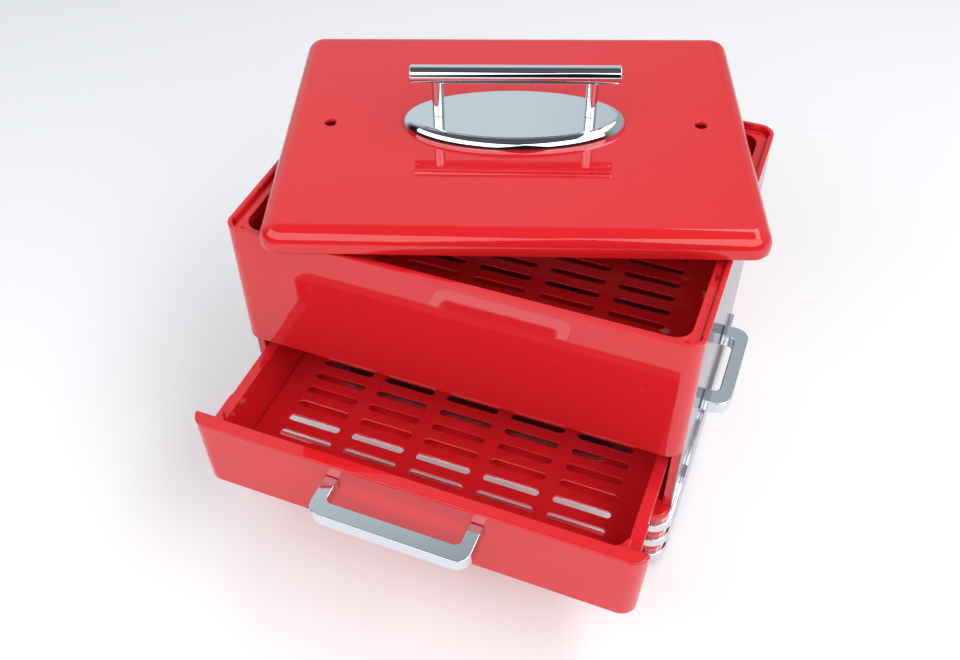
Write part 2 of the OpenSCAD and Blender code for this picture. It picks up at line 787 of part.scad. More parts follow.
// Outline of the drawer front at one level, drawn in by inset at its ends and by wall all round
module front_outline(inset, wall) {
    end_r = corner_r - wall;
    intersection() {
        translate([0, half_d]) rounded(body_w - 2 * (inset + wall), 4 * half_d - 2 * wall, end_r);
        translate([0, drawer_return_y - body_d]) square([2 * body_w, 2 * body_d], center = true);
    }
}

module drawn_in(wall, low, high) {
    hull() {
        translate([0, 0, low]) linear_extrude(eps) front_outline(drawer_taper, wall);
        translate([0, 0, high - eps]) linear_extrude(eps) front_outline(0, wall);
    }
}

// All that lies behind the rear edge of the lip, out to half_span at each side
module behind_lip(low, high, half_span) {
    translate([-half_span, drawer_return_y - return_fore, low]) cube([2 * half_span, body_d, high - low]);
}

// Moulded front: a wall that wraps both ends, under a lip that meets the box and has a horn at each end
module drawer_front() color(red) at_drawer() difference() {
    drawn_in(0, drawer_z, drawer_top);
    difference() {
        drawn_in(shell_wall, drawer_z - 1, drawer_top - drawer_lip_t);
        drawer_screw_spots() cylinder(r = front_boss_r, h = drawer_front_t);
        drawer_handle_spots() cylinder(r = grip_boss_r, h = drawer_front_t);
    }
    translate([0, 0, drawer_z - 1]) linear_extrude(drawer_front_h - drawer_lip_t + 1 + fit)
        translate([0, drawer_in_y - drawer_wall - fit + body_d])
            square([2 * drawer_x, 2 * body_d], center = true);
    translate([0, 0, drawer_top - drawer_lip_t - 1]) linear_extrude(drawer_front_h) drawer_hollow();
    behind_lip(drawer_z - 1, drawer_top - horn_h, body_w);
    behind_lip(drawer_z, drawer_top + 1, half_w - shell_wall);
    drawer_screw_spots() screw_hole(drawer_front_t - shell_wall);
    drawer_handle_spots() screw_hole(drawer_front_t + screw_room);
}

module drawer_front_screws() color(steel) at_drawer() drawer_screw_spots()
    screw(drawer_front_t - shell_wall - screw_room);

module drawer_handle() color(chrome) at_drawer() difference() {
    translate([0, -half_d, drawer_grip_z])
        bar_handle(drawer_grip_len, drawer_grip_reach, drawer_grip_w, drawer_leg_w, grip_h);
    drawer_handle_spots() screw_hole(drawer_front_t + grip_screw_in + screw_room);
}

module drawer_handle_screws() color(steel) at_drawer() drawer_handle_spots()
    screw(drawer_front_t + grip_screw_in);

// Upper tray

module upper_tray() color(red) difference() {
    union() {
        translate([0, 0, ledge_z - flange_t]) linear_extrude(flange_t)
            rounded(2 * flange_x, 2 * flange_y, flange_r);
        translate([0, 0, grate_z - tray_floor_t]) linear_extrude(ledge_z - grate_z + tray_floor_t - eps)
            rounded(2 * (tray_x + tray_wall), 2 * (tray_y + tray_wall), tray_r + tray_wall);
    }
    translate([0, 0, grate_z]) linear_extrude(rim_z) rounded(2 * tray_x, 2 * tray_y, tray_r);
    translate([0, 0, grate_z - tray_floor_t - 1]) linear_extrude(rim_z)
        rounded(2 * (tray_x - grate_rim), 2 * (tray_y - grate_rim), tray_r - grate_rim / 2);
    for (x = [-1, 1]) {
        translate([x * (flange_x - ledge_slot_in - ledge_slot_w / 2), ledge_slot_y, ledge_z])
            cube([ledge_slot_w, ledge_slot_len, 3 * flange_t], center = true);
        for (y = [-1, 1])
            translate([x * (tray_x - 1), y * (tray_y + dimple_r + fit), ledge_z - dimple_deep])
                cylinder(r = dimple_r, h = 2 * dimple_deep);
    }
}

module tray_grate() color(red) translate([0, 0, grate_z])
    slotted_plate(2 * (tray_x - grate_gap), 2 * (tray_y - grate_gap), tray_r - grate_gap, grate_t);

// Lid

module at_lid() {
    translate([lid_x, lid_y, rim_z + seat_gap]) rotate(lid_turn) children();
}

module post_spots() {
    for (x = [-1, 1]) translate([x * post_pitch / 2, 0, 0]) children();
}

// Section of the lid's edge, from the corner axis outwards
module lid_section() difference() {
    union() {
        translate([0, lip_h]) square([lid_r, lid_cap_h]);
        translate([lid_r - lip_in - lip_t, 0]) square([lip_t, lip_h + eps]);
    }
    translate([lid_r - lid_edge_r, lid_top - lid_edge_r]) corner_cut(lid_edge_r);
    translate([lid_r - lid_foot_r, lip_h + lid_foot_r]) mirror([0, 1]) corner_cut(lid_foot_r);
    translate([-1, -1]) square([lid_r - lip_in - lip_t + 1, lid_top - lid_wall + 1]);
}

module lid_shell() color(red) at_lid() difference() {
    union() {
        carry_round(lid_w, lid_d, lid_r) lid_section();
        translate([lid_r - lid_w / 2, lid_r - lid_d / 2, lid_top - lid_wall])
            cube([lid_w - 2 * lid_r, lid_d - 2 * lid_r, lid_wall]);
    }
    for (x = [-1, 1]) translate([x * vent_x, 0, lid_top - 2 * lid_wall])
        cylinder(d = vent_d, h = 3 * lid_wall);
    post_spots() translate([0, 0, lid_top - lid_wall]) screw_hole(lid_wall);
}

// Oval pebble with a flat top and a quarter-round edge, drawn level by level
module lid_plate() color(chrome) at_lid() difference() {
    hull() for (turn = [0 : 15 : 90]) {
        shrink = 2 * plate_h * (1 - cos(turn));
        translate([0, 0, lid_top + (plate_h - eps) * sin(turn)]) linear_extrude(eps)
            oval(plate_len - shrink, plate_w - shrink);
    }
    post_spots() translate([0, 0, lid_top]) screw_hole(plate_h);
}

module oval(len, wid) {
    scale([len / wid, 1]) circle(d = wid);
}

module lid_post(side) color(chrome) at_lid()
translate([side * post_pitch / 2, 0, 0]) difference() {
    translate([0, 0, lid_top + plate_h]) cylinder(d = post_d, h = bar_rise - plate_h - 1);
    translate([0, 0, lid_top + plate_h]) screw_hole(post_screw_in + screw_room);
}

module left_lid_post() lid_post(-1);
module right_lid_post() lid_post(1);

module lid_handle_bar() color(chrome) at_lid() difference() {
    translate([-bar_len / 2, 0, lid_top + bar_rise]) rotate([0, 90, 0]) rotate_extrude()
        polygon([[0, 0], [bar_d / 2 - bar_chamfer, 0], [bar_d / 2, bar_chamfer],
            [bar_d / 2, bar_len - bar_chamfer], [bar_d / 2 - bar_chamfer, bar_len], [0, bar_len]]);
    post_spots() translate([0, 0, lid_top + bar_rise - bar_d])
        cylinder(d = post_d + 2 * fit, h = bar_d - bar_skin);
}

module lid_screws() color(steel) at_lid() post_spots() translate([0, 0, lid_top - lid_wall])
    screw(lid_wall + plate_h + post_screw_in);

base_pan();
back_panel();
upper_band();
middle_band();
lower_band();
bottom_cover();
feet();
cover_screws();
water_reservoir();
reservoir_seal();
heating_element();
heater_clamp();
thermostat();
thermal_fuse();
terminal_block();
cord_inlet();
switch_housing();
power_rocker();
indicator_lamp();
left_runner();
right_runner();
left_side_wall();
right_side_wall();
left_side_panel();
right_side_panel();
left_side_handle();
right_side_handle();
side_handle_screws();
front_shell();
rear_shell();
shell_screws();
drawer_box();
drawer_grate();
drawer_front();
drawer_front_screws();
drawer_handle();
drawer_handle_screws();
upper_tray();
tray_grate();
lid_shell();
lid_plate();
left_lid_post();
right_lid_post();
lid_handle_bar();
lid_screws();
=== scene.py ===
# Table-top steamer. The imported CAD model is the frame; the visible pieces are remodelled on it with soft
# edges and given their finishes, in the order in which the steamer is put together.
import math

import bpy
from mathutils import Matrix, Quaternion, Vector


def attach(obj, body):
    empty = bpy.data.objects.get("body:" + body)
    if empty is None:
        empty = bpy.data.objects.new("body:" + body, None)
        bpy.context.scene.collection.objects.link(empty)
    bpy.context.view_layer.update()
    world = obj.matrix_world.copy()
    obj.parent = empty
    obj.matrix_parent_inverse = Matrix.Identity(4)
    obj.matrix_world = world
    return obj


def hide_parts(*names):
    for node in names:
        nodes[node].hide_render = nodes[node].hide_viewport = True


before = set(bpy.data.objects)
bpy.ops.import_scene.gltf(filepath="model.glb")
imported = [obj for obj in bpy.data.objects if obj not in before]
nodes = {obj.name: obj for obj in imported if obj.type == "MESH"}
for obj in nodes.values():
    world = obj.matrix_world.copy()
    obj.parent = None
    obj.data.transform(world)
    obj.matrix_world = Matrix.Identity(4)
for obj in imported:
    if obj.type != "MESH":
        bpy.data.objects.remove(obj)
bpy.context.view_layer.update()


# Camera: stands to the front right and looks down on the steamer, as the photograph was taken.
# Its place, lens and shift were fitted to edges of the cabinet, for an image of 960 by 660.
MM = 0.001
IMAGE_WIDTH = 960
IMAGE_HEIGHT = 660
SENSOR_WIDTH = 36.0
CAMERA_PLACE = Vector((183.14, -534.91, 647.45)) * MM
CAMERA_TARGET = Vector((-41.8, -29.22, 84.13)) * MM
CAMERA_ROLL = math.radians(-2.34)
FOCAL_PIXELS = 1049.03
AXIS_PIXELS = (441.66, 330.59)

camera_data = bpy.data.cameras.new("studio_camera")
camera_data.sensor_fit = "HORIZONTAL"
camera_data.sensor_width = SENSOR_WIDTH
camera_data.lens = FOCAL_PIXELS / IMAGE_WIDTH * SENSOR_WIDTH
camera_data.shift_x = (IMAGE_WIDTH / 2 - AXIS_PIXELS[0]) / IMAGE_WIDTH
camera_data.shift_y = (AXIS_PIXELS[1] - IMAGE_HEIGHT / 2) / IMAGE_WIDTH
camera_data.clip_start = 0.01
camera = bpy.data.objects.new("studio_camera", camera_data)
bpy.context.scene.collection.objects.link(camera)
camera.location = CAMERA_PLACE
look = (CAMERA_TARGET - CAMERA_PLACE).to_track_quat("-Z", "Y")
camera.rotation_euler = (look @ Quaternion((0, 0, 1), CAMERA_ROLL)).to_euler()
bpy.context.scene.camera = camera
bpy.context.scene.view_settings.view_transform = "Standard"


# Studio: a matt white floor, a grey room that is darker overhead and in front, a pale backdrop, and three
# softboxes, two beside the camera and one behind, so that bright metal shows white and black lines.
FLOOR_SIZE = 9.0
ROOM_BACK_LEFT = (0.72, 0.77, 0.79, 1.0)
ROOM_BACK_RIGHT = (0.42, 0.46, 0.48, 1.0)
ROOM_OVERHEAD = (0.10, 0.11, 0.12, 1.0)
ROOM_FRONT = (0.012, 0.012, 0.014, 1.0)
BACKDROP = (0.80, 0.82, 0.83, 1.0)
REAR_FADE = (-0.25, 0.02)
FRONT_FADE = (-0.3, 0.25)
OVERHEAD_FADE = (0.75, 0.95)
SOFTBOX_DISTANCE = 1.8
SOFTBOX_AIM = Vector((0, 0, 0.15))

# Sockets of a colour mix go by number, because several of them share a name
MIX_FACTOR = 0
MIX_FIRST = 6
MIX_SECOND = 7
MIX_COLOUR = 2


def srgb(code):
    """Linear colour of an sRGB hex value."""
    parts = [int(code[i : i + 2], 16) / 255 for i in (1, 3, 5)]
    linear = [p / 12.92 if p <= 0.04045 else ((p + 0.055) / 1.055) ** 2.4 for p in parts]
    return (*linear, 1.0)


def add_node(tree, kind, values=None, links=None, **settings):
    """Adds a node with its settings, its sockets' values and its links from other nodes' outputs."""
    node = tree.nodes.new(kind)
    for name, value in settings.items():
        setattr(node, name, value)
    for socket, value in (values or {}).items():
        node.inputs[socket].default_value = value
    for socket, (source, output) in (links or {}).items():
        tree.links.new(source.outputs[output], node.inputs[socket])
    return node


def mixed(tree, first, second, source):
    """Mix of two colours, each a plain colour or another mix, by the first output of a node."""
    mix = add_node(tree, "ShaderNodeMix", None, {MIX_FACTOR: (source, 0)}, data_type="RGBA")
    for socket, colour in ((MIX_FIRST, first), (MIX_SECOND, second)):
        if isinstance(colour, tuple):
            mix.inputs[socket].default_value = colour
        else:
            tree.links.new(colour.outputs[MIX_COLOUR], mix.inputs[socket])
    return mix


def make_material(name, colour, roughness, relief=None, values=None):
    """Material whose colour, roughness and relief may drift over the Object coordinates.

    What drifts is given with its noise, a grain size in millimetres and a detail: two colours and a noise,
    two roughnesses and a noise, or a bump's strength, its depth in millimetres and a noise.
    """
    material = bpy.data.materials.new(name)
    material.use_nodes = True
    tree = material.node_tree
    shader = tree.nodes["Principled BSDF"]
    coords = add_node(tree, "ShaderNodeTexCoord")

    def noise(size, detail):
        grain = {"Scale": 1 / (size * MM), "Detail": detail}
        return add_node(tree, "ShaderNodeTexNoise", grain, {"Vector": (coords, "Object")})

    if isinstance(colour, str):
        shader.inputs["Base Color"].default_value = srgb(colour)
    else:
        shade = mixed(tree, srgb(colour[0]), srgb(colour[1]), noise(*colour[2]))
        tree.links.new(shade.outputs[MIX_COLOUR], shader.inputs["Base Color"])
    if isinstance(roughness, float):
        shader.inputs["Roughness"].default_value = roughness
    else:
        span = {"To Min": roughness[0], "To Max": roughness[1]}
        gloss = add_node(tree, "ShaderNodeMapRange", span, {"Value": (noise(*roughness[2]), 0)})
        tree.links.new(gloss.outputs["Result"], shader.inputs["Roughness"])
    if relief:
        depth = {"Strength": relief[0], "Distance": relief[1] * MM}
        bump = add_node(tree, "ShaderNodeBump", depth, {"Height": (noise(*relief[2]), 0)})
        tree.links.new(bump.outputs["Normal"], shader.inputs["Normal"])
    for socket, value in (values or {}).items():
        shader.inputs[socket].default_value = value
    return material


# Matt white emulsion: the faint roller texture only keeps it from looking like nothing.
floor_paint = make_material(
    "matt_white_paint", "#F8F8FA", 0.8, (0.04, 0.5, (20.0, 3.0)),
    {"Emission Color": srgb("#FFFFFF"), "Emission Strength": 0.1},
)

bpy.ops.object.select_all(action="DESELECT")
bpy.ops.mesh.primitive_plane_add(size=FLOOR_SIZE)
floor = bpy.context.object
floor.name = "studio_floor"
floor.data.materials.append(floor_paint)

world = bpy.data.worlds.new("studio_room")
bpy.context.scene.world = world
world.use_nodes = True
sky = world.node_tree
sky_coords = add_node(sky, "ShaderNodeTexCoord")
sky_axes = add_node(sky, "ShaderNodeSeparateXYZ", None, {"Vector": (sky_coords, "Generated")})


def fade(axis, ends, curve):
    """Rises from 0 to 1 between two values of a direction's part along an axis."""
    span = {"From Min": ends[0], "From Max": ends[1]}
    return add_node(sky, "ShaderNodeMapRange", span, {"Value": (sky_axes, axis)}, interpolation_type=curve)


rear = mixed(sky, ROOM_BACK_LEFT, ROOM_BACK_RIGHT, fade("X", REAR_FADE, "LINEAR"))
walls = mixed(sky, ROOM_FRONT, rear, fade("Y", FRONT_FADE, "SMOOTHSTEP"))
room = mixed(sky, walls, ROOM_OVERHEAD, fade("Z", OVERHEAD_FADE, "SMOOTHSTEP"))
# The camera's own rays, which a light path's first output marks, see the backdrop in place of the room
seen = mixed(sky, room, BACKDROP, add_node(sky, "ShaderNodeLightPath"))
sky.links.new(seen.outputs[MIX_COLOUR], sky.nodes["Background"].inputs["Color"])

# Each softbox: its name, its turn from straight in front to the right and its tilt up in degrees, its width
# and height in metres, and its radiance
SOFTBOXES = (
    ("left_softbox", -22.0, 40.0, 2.3, 1.15, 2.4),
    ("right_softbox", 60.0, 40.0, 1.5, 1.15, 2.8),
    ("rear_softbox", 125.0, 60.0, 1.8, 0.6, 3.5),
)
for name, turn, tilt, width, tall, radiance in SOFTBOXES:
    light = bpy.data.lights.new(name, "AREA")
    light.shape = "RECTANGLE"
    light.size = width
    light.size_y = tall
    light.energy = radiance * math.pi * width * tall
    softbox = bpy.data.objects.new(name, light)
    bpy.context.scene.collection.objects.link(softbox)
    across, up = math.radians(turn), math.radians(tilt)
    outward = Vector((math.sin(across) * math.cos(up), -math.cos(across) * math.cos(up), math.sin(up)))
    softbox.location = outward * SOFTBOX_DISTANCE + SOFTBOX_AIM
    softbox.rotation_euler = outward.to_track_quat("Z", "Y").to_euler()
    softbox.visible_camera = False


# Base tub: red injection-moulded ABS, open below, with a well in its deck for the water basin.
# Its back is open too and closed by a service panel.
HALF_W = 155.0
HALF_D = 114.7
CORNER_R = 11.0
CORNER_STEPS = 14
BASE_Z = (4.5, 56.0)
BASE_WALL = 3.0
DECK_EDGE_R = 1.8
TUB_SOFT_R = 0.6
WELL_HALF = (108.0, 75.0)
WELL_CORNER_R = 16.0
SERVICE_X = HALF_W - CORNER_R - BASE_WALL
SERVICE_TOP = BASE_Z[1] - BASE_WALL

# Axes by number, the distance in millimetres that counts as touching, how far a cutter reaches past every
# piece, and how far blocks that are joined or cut lap into each other
X, Y, Z = range(3)
TOUCH = 0.01
FAR = 300.0
LAP = 1.0

# Welding distance in metres, and the angles under which faces count as flat, are shaded as one, or are sharp
WELD = 1e-6
FLAT_ANGLE = math.radians(0.2)
SMOOTH_ANGLE = math.radians(38)
SHARP_ANGLE = math.radians(40)


def pick(piece, kind, test):
    """Selects the edges or polygons of a piece that pass a test of their points, and opens it for editing."""
    bpy.ops.object.select_all(action="DESELECT")
    piece.select_set(True)
    bpy.context.view_layer.objects.active = piece
    mesh = piece.data
    bpy.context.tool_settings.mesh_select_mode = (False, kind == "edges", kind == "polygons")
    for group in (mesh.vertices, mesh.edges, mesh.polygons):
        group.foreach_set("select", [False] * len(group))
    for item in getattr(mesh, kind):
        points = [mesh.vertices[i].co / MM for i in item.vertices]
        if test(points):
            item.select = True
            for i in item.vertices:
                mesh.vertices[i].select = True
    bpy.ops.object.mode_set(mode="EDIT")


def done():
    bpy.ops.object.mode_set(mode="OBJECT")


def on_level(axis, *levels):
    """Test of points that all lie at one of some levels along an axis, in millimetres."""

    def test(points):
        return any(all(abs(p[axis] - level) < TOUCH for p in points) for level in levels)

    return test


def along(axis):
    """Test of edges that run along an axis."""

    def test(points):
        start, end = points
        return all(abs(start[a] - end[a]) < TOUCH for a in (X, Y, Z) if a != axis)

    return test


def round_edges(piece, radius, segments, test):
    pick(piece, "edges", test)
    bpy.ops.mesh.bevel(offset=radius * MM, segments=segments, affect="EDGES", clamp_overlap=False)
    done()


def block(name, low, high, corner=0, segments=12, where=None):
    """Block between two corners in millimetres, its upright edges rounded where a test of x and y says so."""
    bpy.ops.object.select_all(action="DESELECT")
    low, high = Vector(low), Vector(high)
    bpy.ops.mesh.primitive_cube_add(size=1, location=(low + high) / 2 * MM)
    piece = bpy.context.object
    piece.name = name
    piece.scale = (high - low) * MM
    bpy.ops.object.transform_apply(location=True, rotation=True, scale=True)
    if corner:
        upright = along(Z)

        def chosen(points):
            return upright(points) and (where is None or where(*points[0].xy))

        round_edges(piece, corner, segments, chosen)
    return piece


def side_block(name, side, low, high):
    """Block given as it lies on the right, mirrored to the left where side is -1."""
    ends = sorted((side * low[0], side * high[0]))
    return block(name, (ends[0], *low[1:]), (ends[1], *high[1:]))


def round_bar(name, radius, start, end, sides=48):
    """Round bar between two points in millimetres."""
    bpy.ops.object.select_all(action="DESELECT")
    start, end = Vector(start), Vector(end)
    bpy.ops.mesh.primitive_cylinder_add(
        vertices=sides,
        radius=radius * MM,
        depth=(end - start).length * MM,
        location=(start + end) / 2 * MM,
        rotation=(end - start).to_track_quat("Z", "Y").to_euler(),
    )
    piece = bpy.context.object
    piece.name = name
    bpy.ops.object.transform_apply(location=True, rotation=True, scale=True)
    return piece


def apply_modifier(piece, kind, **settings):
    modifier = piece.modifiers.new(kind.title(), kind)
    for name, value in settings.items():
        setattr(modifier, name, value)
    bpy.context.view_layer.objects.active = piece
    bpy.ops.object.modifier_apply(modifier=modifier.name)


def combine(piece, operation, *others):
    """Joins other blocks to a piece, or cuts them from it."""
    for other in others:
        apply_modifier(piece, "BOOLEAN", operation=operation, solver="EXACT", object=other)
        bpy.data.objects.remove(other)


def soften(piece, radius, segments=3):
    """Rounds every sharp edge of a piece."""
    pick(piece, "polygons", lambda points: True)
    bpy.ops.mesh.remove_doubles(threshold=WELD)
    bpy.ops.mesh.dissolve_limited(angle_limit=FLAT_ANGLE)
    done()
    apply_modifier(
        piece, "BEVEL", width=radius * MM, segments=segments, limit_method="ANGLE", angle_limit=SHARP_ANGLE,
        use_clamp_overlap=False, miter_outer="MITER_ARC",
    )


def join(name, *parts):
    bpy.ops.object.select_all(action="DESELECT")
    for part in parts:
        part.select_set(True)
    bpy.context.view_layer.objects.active = parts[0]
    bpy.ops.object.join()
    parts[0].name = name
    return parts[0]


def copy_of(piece, name):
    twin = piece.copy()
    twin.data = piece.data.copy()
    twin.name = name
    bpy.context.scene.collection.objects.link(twin)
    return twin


def fix_place(piece):
    """Works a piece's place, turn and scale into its mesh."""
    bpy.ops.object.select_all(action="DESELECT")
    piece.select_set(True)
    bpy.context.view_layer.objects.active = piece
    bpy.ops.object.transform_apply(location=True, rotation=True, scale=True)


def mirrored(piece, name):
    """Left-hand copy of a right-hand piece."""
    twin = copy_of(piece, name)
    twin.scale = (-1, 1, 1)
    fix_place(twin)
    return twin


def set_down(piece, spot, turn):
    """Turns a piece about the upright axis and moves it to its place."""
    piece.location = Vector(spot) * MM
    piece.rotation_euler = (0, 0, turn)
    fix_place(piece)


def settle(piece, material, body, slot, *replaced):
    """Cleans a finished mesh, gives it its material and ties it to the frame."""
    piece.data.name = piece.name
    pick(piece, "polygons", lambda points: True)
    bpy.ops.mesh.remove_doubles(threshold=WELD)
    bpy.ops.mesh.normals_make_consistent(inside=False)
    done()
    bpy.ops.object.shade_smooth_by_angle(angle=SMOOTH_ANGLE)
    apply_modifier(piece, "WEIGHTED_NORMAL", keep_sharp=True, weight=60)
    piece.data.materials.clear()
    piece.data.materials.append(material)
    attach(piece, body)
    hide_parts(*replaced)


# Gloss ABS, moulded in a polished steel tool: a deep even red, sharp reflections, and a surface that is not
# quite flat. Flow of the melt gives broad drifts of shade, and handling gives faint differences in gloss.
FLOW = (90.0, 2.0)
HANDLING = (22.0, 4.0)
WAVE = (14.0, 1.0)
red_abs = make_material(
    "gloss_red_abs", ("#DE2028", "#E0242C", FLOW), (0.02, 0.06, HANDLING), (0.05, 0.4, WAVE), {"IOR": 1.54}
)

base_tub = block(
    "base_tub", (-HALF_W, -HALF_D, BASE_Z[0]), (HALF_W, HALF_D, BASE_Z[1]), CORNER_R, CORNER_STEPS
)
round_edges(base_tub, DECK_EDGE_R, 4, on_level(Z, BASE_Z[1]))
inner_w, inner_d, inner_r = HALF_W - BASE_WALL, HALF_D - BASE_WALL, CORNER_R - BASE_WALL
well_w, well_d = WELL_HALF
combine(
    base_tub, "DIFFERENCE",
    block("hollow", (-inner_w, -inner_d, 0), (inner_w, inner_d, SERVICE_TOP), inner_r, CORNER_STEPS),
    block("well", (-well_w, -well_d, 0), (well_w, well_d, FAR), WELL_CORNER_R, CORNER_STEPS),
    block("service_room", (-SERVICE_X, inner_d - LAP, 0), (SERVICE_X, HALF_D + LAP, SERVICE_TOP)),
)
soften(base_tub, TUB_SOFT_R)
settle(base_tub, red_abs, "cabinet", "red_plastic", "base_pan")


# Service panel: a red moulding that closes the back of the base, held by a clip behind the tub at each end.
# It is pierced for the cord inlet, the lamp and the switch, which all sit halfway up.
SERVICE_GAP = 0.25
SERVICE_SOFT_R = 0.4
BACK_Z = sum(BASE_Z) / 2
INLET_X = -70.0
INLET_HOLE_R = 7.1
LAMP_X = 36.0
LAMP_HOLE_R = 3.6
SWITCH_X = 62.0
SWITCH_HOLE_HALF = (10.5, 6.4)
CLIP_X = (SERVICE_X - 7, SERVICE_X + 3)
CLIP_THICK = 2.0
CLIP_HALF_H = 12.0


def back_block(name, x, half, start, end):
    """Block on the back wall about a place, between two distances out from the wall's face."""
    low = (x - half[0], HALF_D + start, BACK_Z - half[1])
    return block(name, low, (x + half[0], HALF_D + end, BACK_Z + half[1]))


def back_rod(name, radius, x, start, end):
    """Rod through the back wall at a place, between two distances out from the wall's face."""
    return round_bar(name, radius, (x, HALF_D + start, BACK_Z), (x, HALF_D + end, BACK_Z))


service_x, service_z = SERVICE_X - SERVICE_GAP, SERVICE_TOP - SERVICE_GAP
service = block("service_panel", (-service_x, inner_d, BASE_Z[0]), (service_x, HALF_D, service_z))
combine(
    service, "DIFFERENCE",
    back_rod("inlet_hole", INLET_HOLE_R, INLET_X, -FAR, FAR),
    back_rod("lamp_hole", LAMP_HOLE_R, LAMP_X, -FAR, FAR),
    back_block("switch_hole", SWITCH_X, SWITCH_HOLE_HALF, -FAR, FAR),
)
soften(service, SERVICE_SOFT_R)
clips = []
for side in (-1, 1):
    low = (CLIP_X[0], inner_d - CLIP_THICK, BACK_Z - CLIP_HALF_H)
    clips.append(side_block("clip", side, low, (CLIP_X[1], inner_d, BACK_Z + CLIP_HALF_H)))
settle(join("service_panel", service, *clips), red_abs, "cabinet", "red_plastic", "back_panel")


# Three trim bands: ABS strips with bright chromium plating, pressed on round the front and sides of the base.
# Each ends at the rear corners. Their outer edges are rounded and their inner ones lie on the tub.
BAND_PROUD = 2.6
BAND_TALL = 7.4
BAND_EDGE_R = 0.9
BAND_SOFT_R = 0.2
BAND_GAP = 0.1
BAND_BACK = HALF_D - CORNER_R
BAND_BOTTOM = 5.4
BAND_PITCH = 17.5

# Chromium plate over smooth plastic: a cool white mirror, with only a slight blur from fine wiping marks.
WIPING = (6.0, 5.0)
chrome_plate = make_material("chromium_plate", "#DDE4EA", (0.02, 0.06, WIPING), None, {"Metallic": 1.0})


def in_front(x, y):
    return y < 0


out_w, out_d, out_r = HALF_W + BAND_PROUD, HALF_D + BAND_PROUD, CORNER_R + BAND_PROUD
in_w, in_d, in_r = HALF_W + BAND_GAP, HALF_D + BAND_GAP, CORNER_R + BAND_GAP
for step, node in enumerate(("lower_band", "middle_band", "upper_band")):
    level = BAND_BOTTOM + step * BAND_PITCH
    top = level + BAND_TALL
    band = block(node + "_trim", (-out_w, -out_d, level), (out_w, out_d, top), out_r, CORNER_STEPS, in_front)
    round_edges(band, BAND_EDGE_R, 4, on_level(Z, level, top))
    combine(
        band, "DIFFERENCE",
        block("inside", (-in_w, -in_d, -FAR), (in_w, in_d, FAR), in_r, CORNER_STEPS, in_front),
        block("rear", (-FAR, BAND_BACK, -FAR), (FAR, FAR, FAR)),
    )
    soften(band, BAND_SOFT_R, 2)
    settle(band, chrome_plate, "cabinet", "chrome_trim", node)


# Feet: four moulded rubber pads, pushed through the bottom cover.
# Each has a rounded edge and a hollow sole. One is modelled and copied to the four places.
FOOT_X = 125.0
FOOT_Y = HALF_D - 45
FOOT_R = 9.0
FOOT_EDGE_R = 1.6
SOLE_RIM = 3.2
SOLE_DEEP = 1.2
SOLE_SOFT_R = 0.3

# Moulded rubber: nearly black, matt, with the fine grain of its mould and a grey bloom of dust.
DUST = (7.0, 4.0)
MOULD_GRAIN = (0.6, 2.0)
foot_rubber = make_material("moulded_rubber", ("#191919", "#2A2A29", DUST), 0.75, (0.2, 0.1, MOULD_GRAIN))

foot = round_bar("foot", FOOT_R, (0, 0, 0), (0, 0, BASE_Z[0]))
round_edges(foot, FOOT_EDGE_R, 5, on_level(Z, 0))
pick(foot, "polygons", on_level(Z, 0))
bpy.ops.mesh.inset(thickness=SOLE_RIM * MM)
bpy.ops.mesh.extrude_region_move(TRANSFORM_OT_translate={"value": (0, 0, SOLE_DEEP * MM)})
done()
soften(foot, SOLE_SOFT_R)
feet = []
for x in (-FOOT_X, FOOT_X):
    for y in (-FOOT_Y, FOOT_Y):
        twin = copy_of(foot, "foot_copy")
        twin.data.transform(Matrix.Translation(Vector((x, y, 0)) * MM))
        feet.append(twin)
bpy.data.objects.remove(foot)
settle(join("rubber_feet", *feet), foot_rubber, "cabinet", "foot_rubber", "feet")


# Bottom cover, basin seal, basin, the electrical parts under it and the shells' hidden screws are plain and
# keep their CAD shapes. The cover is black moulded plastic, the basin die-cast aluminium, the heater a
# steel-sheathed tube.

# Spark-eroded black ABS: an even fine grain that scatters the light.
EROSION = (0.9, 2.0)
black_abs = make_material("spark_eroded_black_abs", "#1F1F21", (0.42, 0.6, EROSION), (0.35, 0.1, EROSION))

# Die-cast aluminium: a pale satin grey with the soft mottling of the casting skin.
SKIN = (5.0, 5.0)
cast_aluminium = make_material(
    "die_cast_aluminium", ("#B9BABC", "#CFD0D1", SKIN), (0.28, 0.5, SKIN), (0.15, 0.2, SKIN),
    {"Metallic": 1.0},
)

# Heat-tinted steel sheath: dull grey with straw-coloured drifts where it runs hot.
HEAT = (25.0, 3.0)
sheath_steel = make_material(
    "heat_tinted_steel", ("#9A9A9B", "#A89A82", HEAT), 0.42, None, {"Metallic": 1.0}
)

# Steatite ceramic: unglazed, warm white and slightly chalky.
CHALK = (1.5, 3.0)
ceramic = make_material("unglazed_steatite", ("#DEDBD2", "#EBE9E2", CHALK), 0.7)

# Zinc-plated steel: a bluish bright grey, finely mottled by the plating bath.
BATH = (0.8, 3.0)
zinc_steel = make_material(
    "zinc_plated_steel", ("#AEB4BA", "#C6CBCF", BATH), (0.2, 0.36, BATH), None, {"Metallic": 1.0}
)

KEPT_NODES = {
    "bottom_cover": black_abs,
    "reservoir_seal": foot_rubber,
    "water_reservoir": cast_aluminium,
    "heating_element": sheath_steel,
    "heater_clamp": sheath_steel,
    "thermostat": sheath_steel,
    "thermal_fuse": ceramic,
    "terminal_block": ceramic,
    "shell_screws": zinc_steel,
}
for node, material in KEPT_NODES.items():
    nodes[node].data.materials.clear()
    nodes[node].data.materials.append(material)


